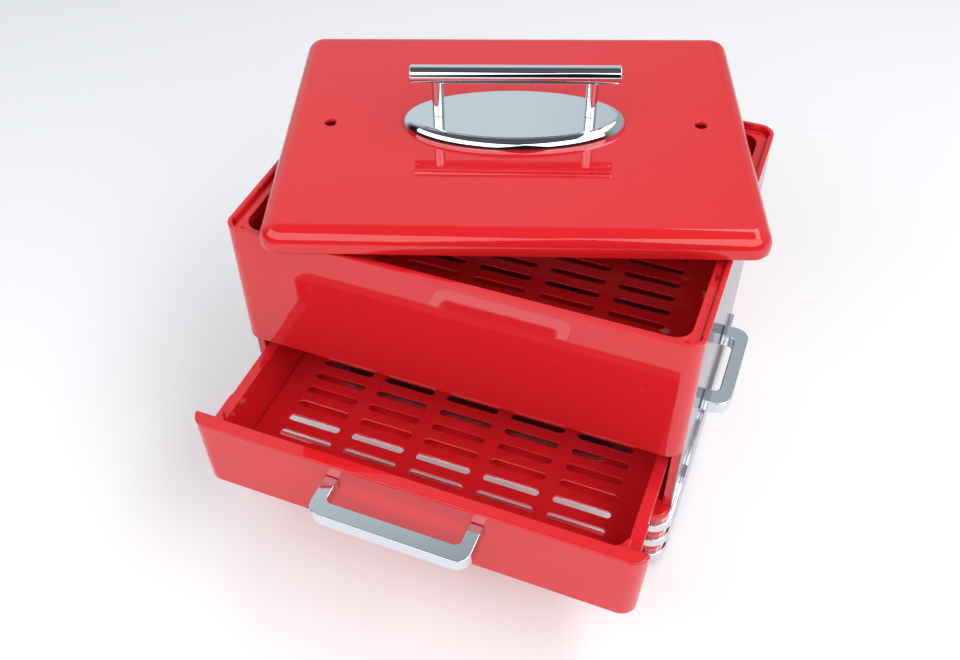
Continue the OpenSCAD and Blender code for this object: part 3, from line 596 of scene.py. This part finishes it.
# Pan-head screws: zinc-plated steel with a cross recess. One is modelled for each set and copied to its
# places, where each points into the piece that it holds. The first set holds the bottom cover.
SCREW_HEAD_R = 3.6
SCREW_HEAD_H = 2.0
SCREW_HEAD_EDGE_R = 1.1
SCREW_R = 1.9
SHANK_LAP = 0.2
RECESS_HALF = (2.0, 0.45)
RECESS_DEEP = 1.1
COVER_SCREW_LONG = 14.0
COVER_SCREW_Y = HALF_D - 20


def screw_set(name, length, spots):
    """Screws with their heads at a list of places, each with the direction that it points in."""
    screw = round_bar("screw", SCREW_HEAD_R, (0, 0, -SCREW_HEAD_H), (0, 0, 0), 32)
    round_edges(screw, SCREW_HEAD_EDGE_R, 4, on_level(Z, -SCREW_HEAD_H))
    low, high = -SCREW_HEAD_H - LAP, RECESS_DEEP - SCREW_HEAD_H
    wide, slim = RECESS_HALF
    combine(
        screw, "DIFFERENCE",
        block("recess", (-wide, -slim, low), (wide, slim, high)),
        block("recess", (-slim, -wide, low), (slim, wide, high)),
    )
    join("screw", screw, round_bar("shank", SCREW_R, (0, 0, -SHANK_LAP), (0, 0, length), 24))
    copies = []
    for origin, direction in spots:
        twin = copy_of(screw, "screw_copy")
        turn = Vector(direction).to_track_quat("Z", "Y").to_matrix().to_4x4()
        turn.translation = Vector(origin) * MM
        twin.data.transform(turn)
        copies.append(twin)
    bpy.data.objects.remove(screw)
    return join(name, *copies)


spots = [((x, y, BASE_Z[0]), (0, 0, 1)) for x in (-FOOT_X, FOOT_X) for y in (-COVER_SCREW_Y, COVER_SCREW_Y)]
cover_screws = screw_set("cover_screws_set", COVER_SCREW_LONG, spots)
settle(cover_screws, zinc_steel, "cabinet", "screw_steel", "cover_screws")


# Cord inlet: a black moulded bush with a tapered nose, bored through.
# It is clamped in the back wall from inside.
BUSH_R = 9.0
BUSH_Y = (-8.0, 4.0)
BUSH_TAPER = 1.9
BUSH_BORE_R = 3.6
BUSH_SOFT_R = 0.4
inlet = back_rod("cord_bush", BUSH_R, INLET_X, *BUSH_Y)
round_edges(inlet, BUSH_TAPER, 1, on_level(Y, HALF_D + BUSH_Y[1]))
combine(inlet, "DIFFERENCE", back_rod("bore", BUSH_BORE_R, INLET_X, -FAR, FAR))
soften(inlet, BUSH_SOFT_R)
settle(inlet, black_abs, "cabinet", "black_plastic", "cord_inlet")


# Switch housing: a black moulded frame with a body behind it, snapped into the back wall.
# A well in it takes the rocker.
FRAME_HALF = (12.4, 8.3)
FRAME_THICK = 2.0
FRAME_CORNER_R = 2.0
SWITCH_BODY_HALF = (10.4, 6.3)
SWITCH_BODY_DEEP = 16.0
SWITCH_WELL_HALF = (9.2, 5.2)
SWITCH_WELL_DEEP = 8.0
SWITCH_SOFT_R = 0.4
housing = back_block("switch_frame", SWITCH_X, FRAME_HALF, 0, FRAME_THICK)
round_edges(housing, FRAME_CORNER_R, 5, along(Y))
combine(housing, "UNION", back_block("body", SWITCH_X, SWITCH_BODY_HALF, -SWITCH_BODY_DEEP, LAP))
combine(housing, "DIFFERENCE", back_block("well", SWITCH_X, SWITCH_WELL_HALF, -SWITCH_WELL_DEEP, FAR))
soften(housing, SWITCH_SOFT_R)
settle(housing, black_abs, "cabinet", "black_plastic", "switch_housing")


# Rocker: a black moulded key with a dished face and a narrower foot, on a pin in the housing.
# It stands with one end down. Its plastic is the housing's, a shade lighter.
ROCKER_TILT = math.radians(-8)
ROCKER_HALF = (8.2, 4.9)
ROCKER_FOOT_HALF = 6.7
ROCKER_Y = (-2.5, 4.2)
ROCKER_PIN_Y = HALF_D - 1.5
DISH_R = 34.5
DISH_Y = DISH_R + 3.2
DISH_HALF = 10.0
ROCKER_SOFT_R = 0.5
rocker_abs = make_material("semi_gloss_black_abs", "#242427", (0.42, 0.6, EROSION), (0.35, 0.1, EROSION))

rocker_x, rocker_z = ROCKER_HALF
rocker = block("rocker_key", (-rocker_x, ROCKER_Y[0], -rocker_z), (rocker_x, ROCKER_Y[1], rocker_z))
pick(rocker, "polygons", on_level(Y, ROCKER_Y[0]))
bpy.ops.transform.resize(value=(ROCKER_FOOT_HALF / rocker_x, 1, 1), center_override=(0, 0, 0))
done()
dish = round_bar("dish", DISH_R, (0, DISH_Y, -DISH_HALF), (0, DISH_Y, DISH_HALF), 192)
combine(rocker, "DIFFERENCE", dish)
soften(rocker, ROCKER_SOFT_R)
set_down(rocker, (SWITCH_X, ROCKER_PIN_Y, BACK_Z), ROCKER_TILT)
settle(rocker, rocker_abs, "rocker", "rocker_plastic", "power_rocker")


# Indicator lamp: an amber acrylic lens with a domed nose and a thin flange, pushed through the back wall.
# Amber acrylic: smooth and bright, with slight differences in depth of colour.
LAMP_FLANGE_R = 4.7
LAMP_FLANGE_THICK = 1.0
NOSE_R = 3.5
NOSE_Y = (-12.0, 2.95)
NOSE_EDGE_R = 2.0
LAMP_SOFT_R = 0.25
DEPTH = (3.0, 2.0)
amber_acrylic = make_material(
    "amber_acrylic", ("#D9731C", "#EE9233", DEPTH), 0.08, None, {"IOR": 1.49, "Coat Weight": 0.5}
)

lamp = back_rod("lamp_lens", LAMP_FLANGE_R, LAMP_X, 0, LAMP_FLANGE_THICK)
nose = back_rod("nose", NOSE_R, LAMP_X, *NOSE_Y)
round_edges(nose, NOSE_EDGE_R, 6, on_level(Y, HALF_D + NOSE_Y[1]))
combine(lamp, "UNION", nose)
soften(lamp, LAMP_SOFT_R)
settle(lamp, amber_acrylic, "cabinet", "lamp_lens", "indicator_lamp")


# Runners: red moulded strips fixed on the deck, which carry the drawer.
# Each has a fence that guides it.
SIDE_HALF = HALF_D - CORNER_R
FORE_Y = -SIDE_HALF - 0.5
RUNNER_X = (136.0, 148.3)
RUNNER_BACK = SIDE_HALF - 2.8
RUNNER_TOP = BASE_Z[1] + 3.5
FENCE_X = (142.2, 144.7)
FENCE_Z = (RUNNER_TOP - 0.5, RUNNER_TOP + 6)
RUNNER_SOFT_R = 0.5
runner = block("right_guide", (RUNNER_X[0], FORE_Y, BASE_Z[1]), (RUNNER_X[1], RUNNER_BACK, RUNNER_TOP))
combine(
    runner, "UNION", block("fence", (FENCE_X[0], FORE_Y, FENCE_Z[0]), (FENCE_X[1], RUNNER_BACK, FENCE_Z[1]))
)
soften(runner, RUNNER_SOFT_R)
left_runner = mirrored(runner, "left_guide")
settle(runner, red_abs, "cabinet", "red_plastic", "right_runner")
settle(left_runner, red_abs, "cabinet", "red_plastic", "left_runner")


# Side walls: red moulded uprights with returns at both ends, a shelf for the tray and a rim strip on top.
# Beside the drawer the fore edge stands forward, up to the front shell. The web ends just short of the rim.
RIM_X = 152.2
RIM_Z = (217.0, 220.0)
RIM_EDGE_R = 0.6
WALL_X = (148.5, 153.8)
WALL_TOP = 219.4
WEB_X = 151.6
WEB_HALF = SIDE_HALF - 0.5
RETURN_WALL = 2.5
FORE_EDGE_X = 151.5
FORE_EDGE_TOP = 120.3
SHELF_X = (148.0, 152.5)
SHELF_Z = (211.0, 213.3)
WALL_SOFT_R = 0.2
wall = block("right_upright", (WALL_X[0], FORE_Y, BASE_Z[1]), (WALL_X[1], WEB_HALF, WALL_TOP))
rim = block("rim", (RIM_X, -SIDE_HALF, RIM_Z[0]), (HALF_W, SIDE_HALF, RIM_Z[1]))
round_edges(rim, RIM_EDGE_R, 4, on_level(Z, RIM_Z[1]))
room_half = SIDE_HALF - RETURN_WALL
combine(
    wall, "DIFFERENCE",
    block("room", (0, -room_half, 0), (WEB_X, room_half, SHELF_Z[0])),
    block("over_shelf", (0, -FAR, SHELF_Z[1]), (WEB_X, FAR, FAR)),
    block("over_fore_edge", (0, -FAR, FORE_EDGE_TOP), (FAR, -WEB_HALF, FAR)),
    block("beside_fore_edge", (FORE_EDGE_X, -FAR, 0), (FAR, -WEB_HALF, FORE_EDGE_TOP + LAP)),
)
shelf = block("shelf", (SHELF_X[0], -SIDE_HALF, SHELF_Z[0]), (SHELF_X[1], SIDE_HALF, SHELF_Z[1]))
combine(wall, "UNION", rim, shelf)
soften(wall, WALL_SOFT_R, 2)
left_wall = mirrored(wall, "left_upright")
settle(wall, red_abs, "cabinet", "red_plastic", "right_side_wall")
settle(left_wall, red_abs, "cabinet", "red_plastic", "left_side_wall")


# Side panels: thin plated sheets in shallow recesses of the side walls, nearly flush with the shells.
# Plated sheet: a pale mirror with a trace of lilac and slow waves, softer than the trim's chromium and duller
# where it is seen edge on.
PANEL_GAP = 0.25
PANEL_OUT = WALL_X[1] + 1.1
PANEL_SOFT_R = 0.25
SHEET_WAVE = (45.0, 1.0)
HAZE = (12.0, 4.0)
plated_sheet = make_material(
    "plated_sheet", "#B0AFB8", (0.06, 0.12, HAZE), (0.08, 0.6, SHEET_WAVE),
    {"Metallic": 1.0, "Specular Tint": (0.45, 0.45, 0.48, 1.0)},
)

panel_half = SIDE_HALF - PANEL_GAP
panel_z = (BASE_Z[1] + PANEL_GAP, RIM_Z[0] - PANEL_GAP)
panel = block("right_panel", (WALL_X[1], -panel_half, panel_z[0]), (PANEL_OUT, panel_half, panel_z[1]))
soften(panel, PANEL_SOFT_R, 2)
left_panel = mirrored(panel, "left_panel")
settle(panel, plated_sheet, "cabinet", "bright_panel", "right_side_panel")
settle(left_panel, plated_sheet, "cabinet", "bright_panel", "left_side_panel")


# Side handles: flat-bar U shapes, cast and chromium plated.
# Each is held by two screws from inside the side wall, one into each leg.
GRIP_HALF = 39.0
GRIP_LEG = 12.0
GRIP_OUT = PANEL_OUT + 19
GRIP_BAR = 9.4
GRIP_Z = (86.5, 96.5)
GRIP_CORNER_R = 10.0
GRIP_EDGE_R = 0.9
FINGER_CORNER_R = 4.0
SIDE_SCREW_LONG = 10.3
grip = block(
    "right_grip", (PANEL_OUT, -GRIP_HALF, GRIP_Z[0]), (GRIP_OUT, GRIP_HALF, GRIP_Z[1]),
    GRIP_CORNER_R, 12, lambda x, y: x > PANEL_OUT + LAP,
)
finger_half = GRIP_HALF - GRIP_LEG
combine(
    grip, "DIFFERENCE",
    block(
        "finger_room", (0, -finger_half, 0), (GRIP_OUT - GRIP_BAR, finger_half, FAR),
        FINGER_CORNER_R, 8, lambda x, y: x > PANEL_OUT,
    ),
)
soften(grip, GRIP_EDGE_R, 5)
left_grip = mirrored(grip, "left_grip")
settle(grip, chrome_plate, "cabinet", "chrome_trim", "right_side_handle")
settle(left_grip, chrome_plate, "cabinet", "chrome_trim", "left_side_handle")
leg_y = GRIP_HALF - GRIP_LEG / 2
spots = [((side * WEB_X, y, sum(GRIP_Z) / 2), (side, 0, 0)) for y in (-leg_y, leg_y) for side in (1, -1)]
side_screws = screw_set("side_handle_screws_set", SIDE_SCREW_LONG, spots)
settle(side_screws, zinc_steel, "cabinet", "screw_steel", "side_handle_screws")


# Front and rear shells: red mouldings wrapped round the corners, screwed to the side walls by hidden tabs.
# The front one leaves room for the drawer, the rear one goes down to the base.
SHELL_WALL = 2.8
SHELL_GAP = 0.25
SHELL_SOFT_R = 0.5
FRONT_BOTTOM = 120.6
TAB_LEVELS = (145.45, 190.18)
TAB_HALF_H = 8.0
TAB_X = (149.3, 151.5)
TAB_FOOT_X = (150.5, 152.9)
TAB_Y = (CORNER_R / 2 - HALF_D, 14 - SIDE_HALF)


def wrapped_shell(name, bottom):
    """Front moulding from a level up to the rim; the rear one is made in the same way and turned round."""
    shell = block(name, (-HALF_W, -HALF_D, bottom), (HALF_W, HALF_D, RIM_Z[1]), CORNER_R, 16)
    in_w, in_d, in_r = HALF_W - SHELL_WALL, HALF_D - SHELL_WALL, CORNER_R - SHELL_WALL
    edge_y = -SIDE_HALF - SHELL_GAP
    combine(
        shell, "DIFFERENCE",
        block("inside", (-in_w, -in_d, 0), (in_w, in_d, FAR), in_r, 16),
        block("far_half", (-FAR, edge_y, 0), (FAR, FAR, FAR)),
    )
    soften(shell, SHELL_SOFT_R, 4)
    parts = [shell]
    for side in (-1, 1):
        for level in TAB_LEVELS:
            low, high = level - TAB_HALF_H, level + TAB_HALF_H
            tab = side_block("tab", side, (TAB_X[0], TAB_Y[0], low), (TAB_X[1], TAB_Y[1], high))
            foot = side_block("tab_foot", side, (TAB_FOOT_X[0], TAB_Y[0], low), (TAB_FOOT_X[1], edge_y, high))
            combine(tab, "UNION", foot)
            parts.append(tab)
    return join(name, *parts)


front_shell = wrapped_shell("front_moulding", FRONT_BOTTOM)
settle(front_shell, red_abs, "cabinet", "red_plastic", "front_shell")
rear_shell = wrapped_shell("rear_moulding", BASE_Z[1])
set_down(rear_shell, (0, 0, 0), math.pi)
settle(rear_shell, red_abs, "cabinet", "red_plastic", "rear_shell")


# Tray grate: a red moulded plate with rows of round-ended steam slots, laid on a ledge in the tray.
# The drawer's grate is made in the same way.
GRATE_THICK = 2.0
GRATE_GAP = 0.5
GRATE_SOFT_R = 0.4
SLOT = (40.0, 6.0)
SLOT_PITCH = (50.0, 14.4)
SLOT_COUNT = (5, 12)
TRAY_HALF = (145.3, HALF_D - 9.1)
TRAY_FLOOR = 137.0
TRAY_CORNER_R = 11.0


def slotted_grate(name, x, y, level, corner):
    """Grate for a bin with these inner faces across and along, floor level and corner radius."""
    low = Vector((x[0] + GRATE_GAP, y[0] + GRATE_GAP, level))
    high = Vector((x[1] - GRATE_GAP, y[1] - GRATE_GAP, level + GRATE_THICK))
    plate = block(name, low, high, corner - GRATE_GAP)
    reach = Vector([(count - 1) / 2 * pitch for count, pitch in zip(SLOT_COUNT, SLOT_PITCH)] + [0])
    first = (low + high) / 2 - reach
    half = Vector((SLOT[0] / 2, SLOT[1] / 2, GRATE_THICK))
    slots = block("slots", first - half, first + half, SLOT[1] / 2 - TOUCH, 6)
    for axis in (X, Y):
        step = [0.0, 0.0, 0.0]
        step[axis] = SLOT_PITCH[axis] * MM
        apply_modifier(
            slots, "ARRAY", count=SLOT_COUNT[axis],
            use_relative_offset=False, use_constant_offset=True, constant_offset_displace=step,
        )
    combine(plate, "DIFFERENCE", slots)
    soften(plate, GRATE_SOFT_R, 2)
    return plate


tray_x, tray_y = TRAY_HALF
tray_grate = slotted_grate(
    "tray_steam_grate", (-tray_x, tray_x), (-tray_y, tray_y), TRAY_FLOOR, TRAY_CORNER_R
)
settle(tray_grate, red_abs, "tray", "red_plastic", "tray_grate")


# Upper tray: a red moulded bin that hangs by its flange on the shelves of the side walls.
# The flange has a slot at each side for lifting it and a dimple at each corner.
FLANGE_X = 151.1
FLANGE_Y = HALF_D - SHELL_WALL - 0.5
FLANGE_Z = (213.5, 216.0)
FLANGE_CORNER_R = CORNER_R - SHELL_WALL - 0.5
TRAY_WALL = 2.2
TRAY_BOTTOM = 134.5
TRAY_LEDGE = 8.0
TRAY_LEDGE_R = 7.0
LIFT_SLOT_X = (147.9, 150.5)
LIFT_SLOT_Y = -0.45 * tray_y
LIFT_SLOT_HALF = 3.5
DIMPLE_PLACE = (tray_x - 1, tray_y + 1.7)
DIMPLE_R = 1.6
DIMPLE_DEEP = 0.8
TRAY_SOFT_R = 0.5
tray = block(
    "lift_out_tray", (-FLANGE_X, -FLANGE_Y, FLANGE_Z[0]), (FLANGE_X, FLANGE_Y, FLANGE_Z[1]), FLANGE_CORNER_R
)
bin_x, bin_y = tray_x + TRAY_WALL, tray_y + TRAY_WALL
ledge_x, ledge_y = tray_x - TRAY_LEDGE, tray_y - TRAY_LEDGE
combine(
    tray, "UNION",
    block("bin", (-bin_x, -bin_y, TRAY_BOTTOM), (bin_x, bin_y, FLANGE_Z[0] + LAP), TRAY_CORNER_R + TRAY_WALL),
)
combine(
    tray, "DIFFERENCE",
    block("inside", (-tray_x, -tray_y, TRAY_FLOOR), (tray_x, tray_y, FAR), TRAY_CORNER_R),
    block("floor", (-ledge_x, -ledge_y, 0), (ledge_x, ledge_y, FAR), TRAY_LEDGE_R, 10),
)
soften(tray, TRAY_SOFT_R)
slot_y = (LIFT_SLOT_Y - LIFT_SLOT_HALF, LIFT_SLOT_Y + LIFT_SLOT_HALF)
for side in (-1, 1):
    slot = side_block("lifting_slot", side, (LIFT_SLOT_X[0], slot_y[0], 0), (LIFT_SLOT_X[1], slot_y[1], FAR))
    combine(tray, "DIFFERENCE", slot)
    for end in (-1, 1):
        spot = (side * DIMPLE_PLACE[0], end * DIMPLE_PLACE[1])
        bottom, top = FLANGE_Z[1] - DIMPLE_DEEP, FLANGE_Z[1] + LAP
        dimple = round_bar("dimple", DIMPLE_R, (*spot, bottom), (*spot, top), 24)
        combine(tray, "DIFFERENCE", dimple)
settle(tray, red_abs, "tray", "red_plastic", "upper_tray")


# Drawer box: a red moulding with its sides folded outwards into a rim and its front wall raised to the lip.
# A shoulder at each side meets the front, and a stop near the back keeps it in. Its grate lies on a ledge.
DRAWER_OUT = 79.2
FACE_Y = -HALF_D - DRAWER_OUT
FACE_DEEP = 9.0
DRAWER_X = 139.0
DRAWER_LONG = 210.0
DRAWER_Y = (FACE_Y + FACE_DEEP, FACE_Y + FACE_DEEP + DRAWER_LONG)
DRAWER_BOTTOM = 59.8
DRAWER_WALL = 2.5
DRAWER_CORNER_R = 12.0
DRAWER_LEDGE = 8.0
DRAWER_LEDGE_R = 8.0
DRAWER_TOP = 102.5
DRAWER_RIM_X = 147.0
SKIRT_BOTTOM = 90.5
SHOULDER_X = 148.0
SHOULDER_LONG = 33.0
STOP_X = 150.0
STOP_LONG = 10.0
STOP_BACK = 162.8
STOP_Y = STOP_BACK - SIDE_HALF - DRAWER_OUT
STOP_Z = (96.0, 101.2)
FRONT_WALL_THICK = 12.0
FRONT_WALL_TOP = 112.3
DRAWER_SOFT_R = 0.6
box_x = DRAWER_X + DRAWER_WALL
box_y = (DRAWER_Y[0] - DRAWER_WALL, DRAWER_Y[1] + DRAWER_WALL)
floor_z = DRAWER_BOTTOM + DRAWER_WALL
rim_z = DRAWER_TOP - DRAWER_WALL
lug_x = DRAWER_RIM_X - LAP
box = block("drawer_bin", (-box_x, box_y[0], DRAWER_BOTTOM), (box_x, box_y[1], DRAWER_TOP))
combine(
    box, "UNION",
    block("front_wall", (-box_x, box_y[0], rim_z), (box_x, box_y[0] + FRONT_WALL_THICK, FRONT_WALL_TOP)),
)
for side in (-1, 1):
    skirt_low = (DRAWER_RIM_X - DRAWER_WALL, box_y[0], SKIRT_BOTTOM)
    shoulder_high = (SHOULDER_X, box_y[0] + SHOULDER_LONG, DRAWER_TOP)
    combine(
        box, "UNION",
        side_block("rim", side, (DRAWER_X - LAP, box_y[0], rim_z), (DRAWER_RIM_X, box_y[1], DRAWER_TOP)),
        side_block("skirt", side, skirt_low, (DRAWER_RIM_X, box_y[1], rim_z + LAP)),
        side_block("shoulder", side, (lug_x, box_y[0], rim_z), shoulder_high),
        side_block("stop", side, (lug_x, STOP_Y, STOP_Z[0]), (STOP_X, STOP_Y + STOP_LONG, STOP_Z[1])),
    )
ledge_x = DRAWER_X - DRAWER_LEDGE
ledge_y = (DRAWER_Y[0] + DRAWER_LEDGE, DRAWER_Y[1] - DRAWER_LEDGE)
combine(
    box, "DIFFERENCE",
    block("inside", (-DRAWER_X, DRAWER_Y[0], floor_z), (DRAWER_X, DRAWER_Y[1], FAR), DRAWER_CORNER_R),
    block("floor", (-ledge_x, ledge_y[0], 0), (ledge_x, ledge_y[1], FAR), DRAWER_LEDGE_R, 10),
)
soften(box, DRAWER_SOFT_R)
settle(box, red_abs, "drawer", "red_plastic", "drawer_box")
drawer_grate = slotted_grate(
    "drawer_steam_grate", (-DRAWER_X, DRAWER_X), DRAWER_Y, floor_z, DRAWER_CORNER_R
)
settle(drawer_grate, red_abs, "drawer", "red_plastic", "drawer_grate")


# Drawer front: a red moulding, slightly narrower at its foot, whose top lip laps the box.
# It is held by four screws from inside the box.
FACE_Z = (57.0, 115.3)
FACE_BACK = -160.0
FACE_TAPER = 2.5
LIP_BACK = FACE_Y + 10
LIP_WALL = 3.0
LIP_EDGE_R = 1.4
FACE_SOFT_R = 0.45
BOX_ROOM_X = 134.2
FACE_SCREW_X = 115.0
FACE_SCREW_LEVELS = (71.0, 95.0)
FACE_SCREW_LONG = 5.2


def tapered_block(name, low, high, corner):
    """Block with its two front corners rounded and its foot drawn in at both ends."""
    piece = block(name, low, high, corner, 8, lambda x, y: y < DRAWER_Y[0])
    pick(piece, "polygons", on_level(Z, low[2]))
    bpy.ops.transform.resize(value=((high[0] - FACE_TAPER) / high[0], 1, 1), center_override=(0, 0, 0))
    done()
    return piece


face = tapered_block("drawer_face", (-HALF_W, FACE_Y, FACE_Z[0]), (HALF_W, FACE_BACK, FACE_Z[1]), CORNER_R)
on_top, on_back = on_level(Z, FACE_Z[1]), on_level(Y, FACE_BACK)
round_edges(face, LIP_EDGE_R, 5, lambda points: on_top(points) and not on_back(points))
in_w = HALF_W - SHELL_WALL
inside = tapered_block(
    "inside", (-in_w, FACE_Y + SHELL_WALL, FACE_Z[0] - LAP), (in_w, FACE_BACK + LAP, FACE_Z[1] - LIP_WALL),
    CORNER_R - SHELL_WALL,
)
combine(
    face, "DIFFERENCE", inside,
    block("box_room", (-BOX_ROOM_X, DRAWER_Y[0], 0), (BOX_ROOM_X, DRAWER_Y[1], FAR)),
    block("behind", (-FAR, LIP_BACK, 0), (FAR, FAR, FAR)),
)
soften(face, FACE_SOFT_R, 4)
settle(face, red_abs, "drawer", "red_plastic", "drawer_front")
spots = [
    ((x, DRAWER_Y[0], z), (0, -1, 0)) for x in (-FACE_SCREW_X, FACE_SCREW_X) for z in FACE_SCREW_LEVELS
]
face_screws = screw_set("drawer_front_screws_set", FACE_SCREW_LONG, spots)
settle(face_screws, zinc_steel, "drawer", "screw_steel", "drawer_front_screws")


# Drawer handle: a wide flat-bar U, cast and chromium plated as the side handles are.
# It is held by two long screws through the drawer's front.
PULL_HALF = 54.5
PULL_LEG = 9.5
PULL_OUT = FACE_Y - 30
PULL_BAR = 12.0
PULL_Z = (94.5, 104.5)
PULL_SCREW_LONG = 20.0
pull = block(
    "drawer_pull", (-PULL_HALF, PULL_OUT, PULL_Z[0]), (PULL_HALF, FACE_Y, PULL_Z[1]),
    GRIP_CORNER_R, 12, lambda x, y: y < FACE_Y - LAP,
)
finger_half = PULL_HALF - PULL_LEG
combine(
    pull, "DIFFERENCE",
    block(
        "finger_room", (-finger_half, PULL_OUT + PULL_BAR, 0), (finger_half, FAR, FAR),
        FINGER_CORNER_R, 8, lambda x, y: y < FACE_Y,
    ),
)
soften(pull, GRIP_EDGE_R, 5)
settle(pull, chrome_plate, "drawer", "chrome_trim", "drawer_handle")
leg_x = PULL_HALF - PULL_LEG / 2
spots = [((x, DRAWER_Y[0], sum(PULL_Z) / 2), (0, -1, 0)) for x in (-leg_x, leg_x)]
pull_screws = screw_set("drawer_handle_screws_set", PULL_SCREW_LONG, spots)
settle(pull_screws, zinc_steel, "drawer", "screw_steel", "drawer_handle_screws")


# Lid: a red moulding with a broad rolled edge and a locating lip below, laid on the rim and turned.
# Two small steam vents pierce its top. Its pieces are made about its own middle and then set down.
LID_PLACE = (-9.1, 31.2, 220.2)
LID_TURN = math.radians(19.1)
LID_HALF = (HALF_W + 2, HALF_D + 3.6)
LID_CORNER_R = 13.5
LID_EDGE_R = 12.0
LID_FOOT_R = 1.2
LID_LIP_H = 2.0
LID_LIP_IN = 5.9
LID_LIP_WALL = 2.5
LID_TOP = 18.0
LID_WALL = 2.6
VENT_X = 125.0
VENT_R = 4.0
VENT_EDGE_R = 0.8
LID_SOFT_R = 0.12
lid = block("lid_moulding", (-LID_HALF[0], -LID_HALF[1], LID_LIP_H), (*LID_HALF, LID_TOP), LID_CORNER_R, 16)
round_edges(lid, LID_EDGE_R, 16, on_level(Z, LID_TOP))
round_edges(lid, LID_FOOT_R, 4, on_level(Z, LID_LIP_H))
pick(lid, "polygons", on_level(Z, LID_LIP_H))
bpy.ops.mesh.inset(thickness=LID_LIP_IN * MM)
bpy.ops.mesh.extrude_region_move(TRANSFORM_OT_translate={"value": (0, 0, -LID_LIP_H * MM)})
bpy.ops.mesh.inset(thickness=LID_LIP_WALL * MM)
bpy.ops.mesh.extrude_region_move(TRANSFORM_OT_translate={"value": (0, 0, (LID_TOP - LID_WALL) * MM)})
done()
for x in (-VENT_X, VENT_X):
    combine(lid, "DIFFERENCE", round_bar("vent", VENT_R, (x, 0, LID_TOP / 2), (x, 0, LID_TOP + LAP)))
on_top = on_level(Z, LID_TOP)


def by_vent(points):
    return all(abs(p.x) > VENT_X - VENT_R - LAP and abs(p.y) < VENT_R + LAP for p in points)


round_edges(lid, VENT_EDGE_R, 4, lambda points: on_top(points) and by_vent(points))
soften(lid, LID_SOFT_R, 2)
set_down(lid, LID_PLACE, LID_TURN)
settle(lid, red_abs, "lid", "red_plastic", "lid_shell")


# Lid plate: a pressed oval with a flat top and a full rounded edge, chromium plated to a clear mirror.
# It is made as a round of one metre and drawn in to its two half widths.
PLATE_HALF = (75.0, 33.5)
PLATE_H = 7.5
PLATE_EDGE_R = PLATE_H - 0.4
plate_top = LID_TOP + PLATE_H
plate = round_bar("lid_oval", 1 / MM, (0, 0, LID_TOP), (0, 0, plate_top), 160)
plate.data.transform(Matrix.Diagonal((PLATE_HALF[0] * MM, PLATE_HALF[1] * MM, 1, 1)))
round_edges(plate, PLATE_EDGE_R, 12, on_level(Z, plate_top))
set_down(plate, LID_PLACE, LID_TURN)
settle(plate, chrome_plate, "lid", "chrome_trim", "lid_plate")


# Lid handle: a round bar on two slim posts, all chromium plated.
# A screw from under the lid goes up into each post.
BAR_R = 6.0
BAR_HALF = 68.75
BAR_Z = LID_TOP + 38
BAR_EDGE_R = 1.0
POST_R = 4.0
POST_X = 50.75
POST_FOOT_R = 0.4
LID_SCREW_LONG = 21.1
bar = round_bar("lid_bar", BAR_R, (-BAR_HALF, 0, BAR_Z), (BAR_HALF, 0, BAR_Z), 64)
round_edges(bar, BAR_EDGE_R, 3, on_level(X, -BAR_HALF, BAR_HALF))
set_down(bar, LID_PLACE, LID_TURN)
settle(bar, chrome_plate, "lid", "chrome_trim", "lid_handle_bar")
for x, node in ((-POST_X, "left_lid_post"), (POST_X, "right_lid_post")):
    post = round_bar(node + "_rod", POST_R, (x, 0, plate_top), (x, 0, BAR_Z - LAP), 40)
    round_edges(post, POST_FOOT_R, 2, on_level(Z, plate_top))
    set_down(post, LID_PLACE, LID_TURN)
    settle(post, chrome_plate, "lid", "chrome_trim", node)
spots = [((x, 0, LID_TOP - LID_WALL), (0, 0, 1)) for x in (-POST_X, POST_X)]
lid_screws = screw_set("lid_screws_set", LID_SCREW_LONG, spots)
set_down(lid_screws, LID_PLACE, LID_TURN)
settle(lid_screws, zinc_steel, "lid", "screw_steel", "lid_screws")
